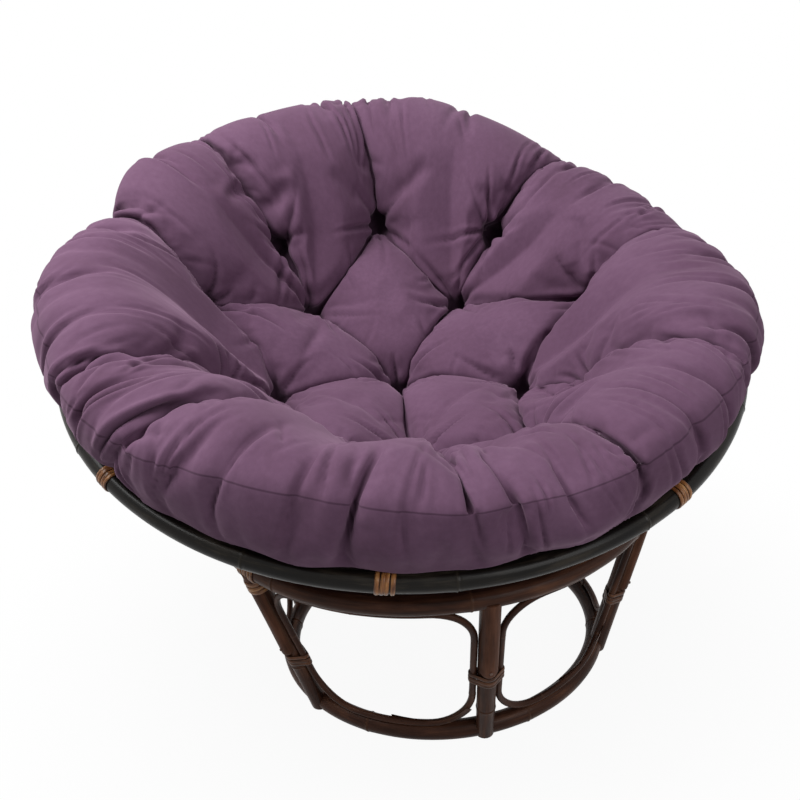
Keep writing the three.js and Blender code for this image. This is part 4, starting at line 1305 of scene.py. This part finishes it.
def settle(piece):
    hold = piece.vertex_groups.new(name="hold")
    weights = hold_weights(cover_flat)
    for index in np.nonzero(weights > 0)[0]:
        hold.add([int(index)], float(weights[index]), "REPLACE")
    piece.shape_key_add(name="stuffed")
    cut = piece.shape_key_add(name="cut")
    start, full = SPARE_CLOTH_RADII
    grow = 1 + RIM_SPARE_CLOTH_SHARE * np.clip((length_of(cover_points[:, :2]) - start) / (full - start), 0, 1)
    cut_points = cover_points * np.stack([grow, grow, np.ones_like(grow)], 1)
    cut.data.foreach_set("co", placed(cut_points, bowl_axes).ravel())
    cloth = piece.modifiers.new("cloth", "CLOTH")
    for name, value in CLOTH_SETTINGS.items():
        setattr(cloth.settings, name, value)
    cloth.settings.rest_shape_key = cut
    cloth.settings.effector_weights.gravity = 0
    cloth.collision_settings.use_collision = False
    scene = bpy.context.scene
    for number in range(1, SETTLE_FRAMES + 1):
        scene.frame_set(number)
    places = read_points(piece.evaluated_get(bpy.context.evaluated_depsgraph_get()).data)
    piece.modifiers.remove(cloth)
    piece.shape_key_clear()
    scene.frame_set(1)
    start = placed(cover_points, bowl_axes)
    moved = places - start
    distance = length_of(moved)
    print("cloth moved", round(distance.max() / MM), "mm at most,", round(distance.mean() / MM, 1), "mm on average")
    moved *= np.minimum(1, SETTLE_CAP / np.maximum(distance, NEARLY_NOTHING))[:, None]
    still = smooth_step(length_of(cover_flat), cushion_edge + STILL_BOXING_SHARE * BOXING_HEIGHT, hem_radius)
    write_points(piece.data, start + moved * (1 - still[:, None]))


upper = cloth_piece("cushion_cover", cover_points, cover_flat, cover_faces, 1.0)
settle(upper)

# %% [markdown]
# ## The cushion: sharp folds
# Where cotton is gathered it lies in valleys a few millimetres wide, with a soft ridge on either side. They run out
# from every tuft like the rays of a star, stand in short rows along the creases, and line the bottom of each broad
# fold over the rim. A valley is a bent line on the flat cloth, with a depth and a width.

# %% Sharp folds
TUFT_RAYS = (6, 9)
TUFT_RAY_LENGTH = (60, 160)
TUFT_RAY_DEPTH = (4, 9)
TUFT_PIT_DEPTH = 24 * MM
TUFT_PIT_RADIUS = 13 * MM
CREASE_VALLEY = (10, 3)
GATHER_SPACING = (50, 120)
GATHER_LENGTH = (30, 80)
GATHER_DEPTH = (1.5, 3.5)
VALLEY_WIDTH = (2.8, 4.6)
FINE_RIM_FOLDS = 190
FINE_FOLD_PLACE = (-110, 60)
FINE_FOLD_LENGTH = (50, 130)
FINE_FOLD_DEPTH = (1.5, 4.2)
FINE_FOLD_WIDTH = (2.2, 3.8)
RIDGE_SHARE = 0.42
RIDGE_PLACE_SHARE = 2.4
RIDGE_WIDTH_SHARE = 1.5
HALF_CREASE_SHARE = 0.62
CREASE_BEND = 0.06
TUFT_RAY_TURN = 0.25
TUFT_RAY_BEND = 0.12
TUFT_RAY_FOOT = 4 * MM
GATHER_FOOT = 2 * MM
GATHER_END = 10 * MM
GATHER_SLANT = 0.9
GATHER_BEND = 0.1
RIM_VALLEY_STARTS = (0.5, 0.95)
RIM_VALLEY_ENDS = (0.55, 0.9)
RIM_VALLEY_SHARES = (0.8, 0.45)
RIM_VALLEY_BEND = 0.05
FINE_FOLD_SPREAD = 5
FINE_FOLD_SLANT = 5
FINE_FOLD_BEND = 0.08
STILL_HEM_SHARE = 0.8


def between(pair):
    return fold_chance.uniform(*pair) * MM


def either_way(most):
    return fold_chance.uniform(-most, most)


def valleys(flat, lines):
    """Depth of all valleys. A line is (start, end, bend, depth, width, fading at the start, fading at the end)."""
    depth = np.zeros(len(flat))
    for start, end, bend, line_depth, width, start_fade, end_fade in lines:
        run = end - start
        length = length_of(run)
        ahead = run / length
        reach = 4 * width + abs(bend) * length
        low, high = np.minimum(start, end) - reach, np.maximum(start, end) + reach
        near = np.nonzero(((flat > low) & (flat < high)).all(1))[0]
        place = flat[near] - start
        share = place @ ahead / length
        bow = 4 * bend * length * share * (1 - share)
        beside = np.abs(place @ np.array([-ahead[1], ahead[0]]) - bow)
        fade = smooth_step(share, 0, start_fade) * (1 - smooth_step(share, 1 - end_fade, 1))
        inside = (share > 0) & (share < 1)
        ridge = np.exp(-((beside - RIDGE_PLACE_SHARE * width) / (RIDGE_WIDTH_SHARE * width)) ** 2)
        profile = np.exp(-beside / width) - RIDGE_SHARE * ridge
        depth[near] += np.where(inside, line_depth * profile * fade, 0)
    return depth


def tuft_rays():
    lines = []
    for tuft in all_tufts:
        count = fold_chance.integers(*TUFT_RAYS)
        for turn in np.linspace(0, 2 * np.pi, count, endpoint=False) + fold_chance.uniform(0, 6):
            turn += either_way(TUFT_RAY_TURN)
            ray = np.array([np.cos(turn), np.sin(turn)])
            end = tuft + ray * between(TUFT_RAY_LENGTH)
            bend = either_way(TUFT_RAY_BEND)
            foot = tuft + TUFT_RAY_FOOT * ray
            lines.append((foot, end, bend, between(TUFT_RAY_DEPTH), between(VALLEY_WIDTH), 0.12, 0.8))
    return lines


def crease_gathers():
    lines = []
    for start, end in [*crease_lines(), *seam_crease_lines()]:
        run = end - start
        length = length_of(run)
        ahead = run / length
        beside = np.array([-ahead[1], ahead[0]])
        bend = either_way(CREASE_BEND)
        depth, width = CREASE_VALLEY
        for foot, half in ((start, HALF_CREASE_SHARE * run), (end, -HALF_CREASE_SHARE * run)):
            lines.append((foot, foot + half, bend, depth * MM, width * MM, 0.04, 0.9))
        for side in (-1, 1):
            place = between(GATHER_SPACING)
            while place < length - GATHER_END:
                ray = side * beside + either_way(GATHER_SLANT) * ahead
                foot = start + ahead * place + side * beside * GATHER_FOOT
                tip = foot + ray * between(GATHER_LENGTH)
                bend = either_way(GATHER_BEND)
                lines.append((foot, tip, bend, between(GATHER_DEPTH), between(VALLEY_WIDTH), 0.2, 0.8))
                place += between(GATHER_SPACING)
    return lines


def rim_valleys():
    lines = []
    for place, fold_depth, half_width, lean in DEEP_RIM_FOLDS:
        inner = cushion_edge + RIM_FOLD_START * fold_chance.uniform(*RIM_VALLEY_STARTS)
        outer = cushion_edge + BOXING_HEIGHT * fold_chance.uniform(*RIM_VALLEY_ENDS)
        turn = math.radians(place)
        start = flat_at(inner, turn - math.radians(lean) / 2)
        end = flat_at(outer, turn + math.radians(lean) / 2)
        depth, width = np.array([fold_depth, half_width]) * RIM_VALLEY_SHARES * MM
        lines.append((start, end, either_way(RIM_VALLEY_BEND), depth, width, 0.35, 0.35))
    return lines


def fine_rim_folds():
    """Thin folds of gathered cloth that run over the rim's roll. They lie closer together beside the seam creases."""
    lines = []
    for number in range(FINE_RIM_FOLDS):
        if number % 2:
            turn = fold_chance.uniform(-180, 180)
        else:
            turn = fold_chance.choice(SEAM_CREASE_AZIMUTHS) + fold_chance.normal(0, FINE_FOLD_SPREAD)
        slant = either_way(FINE_FOLD_SLANT)
        middle = cushion_edge + between(FINE_FOLD_PLACE)
        half_length = between(FINE_FOLD_LENGTH) / 2
        start = flat_at(middle - half_length, math.radians(turn - slant / 2))
        end = flat_at(middle + half_length, math.radians(turn + slant / 2))
        bend = either_way(FINE_FOLD_BEND)
        lines.append((start, end, bend, between(FINE_FOLD_DEPTH), between(FINE_FOLD_WIDTH), 0.4, 0.4))
    return lines


def tuft_pits(flat):
    depth = np.zeros(len(flat))
    for tuft in all_tufts:
        depth += TUFT_PIT_DEPTH * np.exp(-(length_of(flat - tuft) / TUFT_PIT_RADIUS) ** 2)
    return depth


sharp_folds = tuft_rays() + crease_gathers() + rim_valleys() + fine_rim_folds()
print("sharp folds:", len(sharp_folds))

# %% [markdown]
# ## The cushion: closing the cover
# The bottom panel closes the cover along the lower seam. The whole skin is subdivided once, and the sharp folds are
# pressed into its upper side afterwards, because a subdivision would smooth them away.


# %% Closing the cover
SEWING_DISTANCE = 0.1 * MM


def subdivided(piece):
    finer = piece.modifiers.new("finer", "SUBSURF")
    finer.levels = finer.render_levels = 1
    mesh = bpy.data.meshes.new_from_object(piece.evaluated_get(bpy.context.evaluated_depsgraph_get()))
    piece.modifiers.remove(finer)
    piece.data = mesh
    return mesh


def carried_values(mesh, name, field, width):
    values = np.empty(len(mesh.vertices) * width)
    mesh.attributes[name].data.foreach_get(field, values)
    return values.reshape(-1, width)


def draw_sharp_folds(mesh):
    """Presses the sharp folds into the upper side of the cover."""
    flat = carried_values(mesh, "cloth", "vector", 3)[:, :2]
    above = carried_values(mesh, "above", "value", 1)[:, 0]
    kept = 1 - smooth_step(length_of(flat), cushion_edge + STILL_HEM_SHARE * BOXING_HEIGHT, hem_radius)
    depth = (valleys(flat, sharp_folds) + tuft_pits(flat)) * above * kept
    write_points(mesh, read_points(mesh) - depth[:, None] * read_points(mesh, "normal"))
    # The depth is kept on the points as the mask of the painted shade in the folds and tuft pits.
    mesh.attributes.new("fold", "FLOAT", "POINT").data.foreach_set("value", depth)


def close_cover(upper, lower):
    """Joins the bottom panel to the settled cover and finishes the whole."""
    with bpy.context.temp_override(active_object=upper, selected_editable_objects=[upper, lower], object=upper):
        bpy.ops.object.join()
    skin_net = bmesh.new()
    skin_net.from_mesh(upper.data)
    bmesh.ops.remove_doubles(skin_net, verts=skin_net.verts, dist=SEWING_DISTANCE)
    open_edges = sum(1 for edge in skin_net.edges if len(edge.link_faces) != 2)
    skin_net.to_mesh(upper.data)
    skin_net.free()
    draw_sharp_folds(subdivided(upper))
    mesh = upper.data
    mesh.shade_smooth()
    mesh.materials.clear()
    mesh.materials.append(twill)
    print("cushion faces:", len(mesh.polygons), "open edges:", open_edges)


close_cover(upper, cloth_piece("bottom_panel", under_points, under_flat, under_faces, 0.0))
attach(upper, "cushion")
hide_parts("cushion")

# %% [markdown]
# ## Floor and light
# The chair stands on a plain white floor in a plain white studio. One large soft lamp hangs above and to the left of
# the chair, and a weaker one fills in from beside the camera. The white that the camera sees comes from the floor's
# and the world's own colour, not from more light on the chair, and the floor keeps the chair's shadow. Rays of gloss
# see that white too, so the lacquer reflects it.

# %% Floor and light
FLOOR_REACH = 30
FLOOR_DROP = 0.5 * MM
SHADOW_RADII = (0.25, 0.9)
SHADOW_GLOW = 0.94
KEY_LAMP = {"place": (-1.1, 0.15, 2.5), "target": (0, 0, 0.5), "size": 1.8, "power": 70}
FILL_LAMP = {"place": (0.9, -2.1, 1.5), "target": (0, 0, 0.4), "size": 1.2, "power": 16}
AMBIENT = 0.22
WHITE = to_linear("#ffffff")


def seeing_rays(tree):
    """1 for the rays that see the studio: the camera's own, and those of gloss and glass."""
    rays = add(tree, "ShaderNodeLightPath").outputs
    bright = calculated(tree, "MAXIMUM", rays["Is Glossy Ray"], rays["Is Transmission Ray"])
    return calculated(tree, "MAXIMUM", rays["Is Camera Ray"], bright)


def white_floor():
    material, tree = new_material("white studio floor")
    place = add(tree, "ShaderNodeTexCoord").outputs["Object"]
    paint = colours(tree, noise(tree, place, 3, 4), (0.3, "#9a9a9a"), (0.7, "#a0a0a0"))
    matt = add(tree, "ShaderNodeBsdfDiffuse", {}, {"Color": paint})
    glow = add(tree, "ShaderNodeEmission", {"Color": WHITE, "Strength": 1})
    away = add(tree, "ShaderNodeVectorMath", {"operation": "LENGTH"}, {0: place}).outputs["Value"]
    glow_share = in_range(tree, away, *SHADOW_RADII, SHADOW_GLOW, 1, interpolation_type="SMOOTHSTEP")
    seen = calculated(tree, "MULTIPLY", seeing_rays(tree), glow_share)
    shader = add(tree, "ShaderNodeMixShader", {}, {0: seen, 1: matt.outputs[0], 2: glow.outputs[0]})
    add(tree, "ShaderNodeOutputMaterial", links={"Surface": shader.outputs[0]})
    return material


def white_world():
    world = bpy.data.worlds.new("studio")
    bpy.context.scene.world = world
    world.use_nodes = True
    tree = world.node_tree
    tree.nodes.clear()
    strength = in_range(tree, seeing_rays(tree), 0, 1, AMBIENT, 1)
    light = add(tree, "ShaderNodeBackground", {"Color": WHITE}, {"Strength": strength})
    add(tree, "ShaderNodeOutputWorld", links={"Surface": light.outputs[0]})


def soft_lamp(name, place, target, size, power):
    lamp = in_scene(name, bpy.data.lights.new(name, "AREA"))
    lamp.data.size = size
    lamp.data.energy = power
    lamp.location = place
    lamp.rotation_euler = (Vector(target) - Vector(place)).to_track_quat("-Z", "Y").to_euler()


floor_corners = np.array([(x, y, 0) for x, y in ((-1, -1), (1, -1), (1, 1), (-1, 1))]) * FLOOR_REACH
floor = in_scene("floor", mesh_of("floor", floor_corners - [0, 0, FLOOR_DROP], [(0, 1, 2, 3)]))
floor.data.materials.append(white_floor())

white_world()
soft_lamp("key lamp", **KEY_LAMP)
soft_lamp("fill lamp", **FILL_LAMP)
bpy.context.scene.view_settings.view_transform = "Standard"
print("key", KEY_LAMP["power"], "W, fill", FILL_LAMP["power"], "W, ambient", AMBIENT)
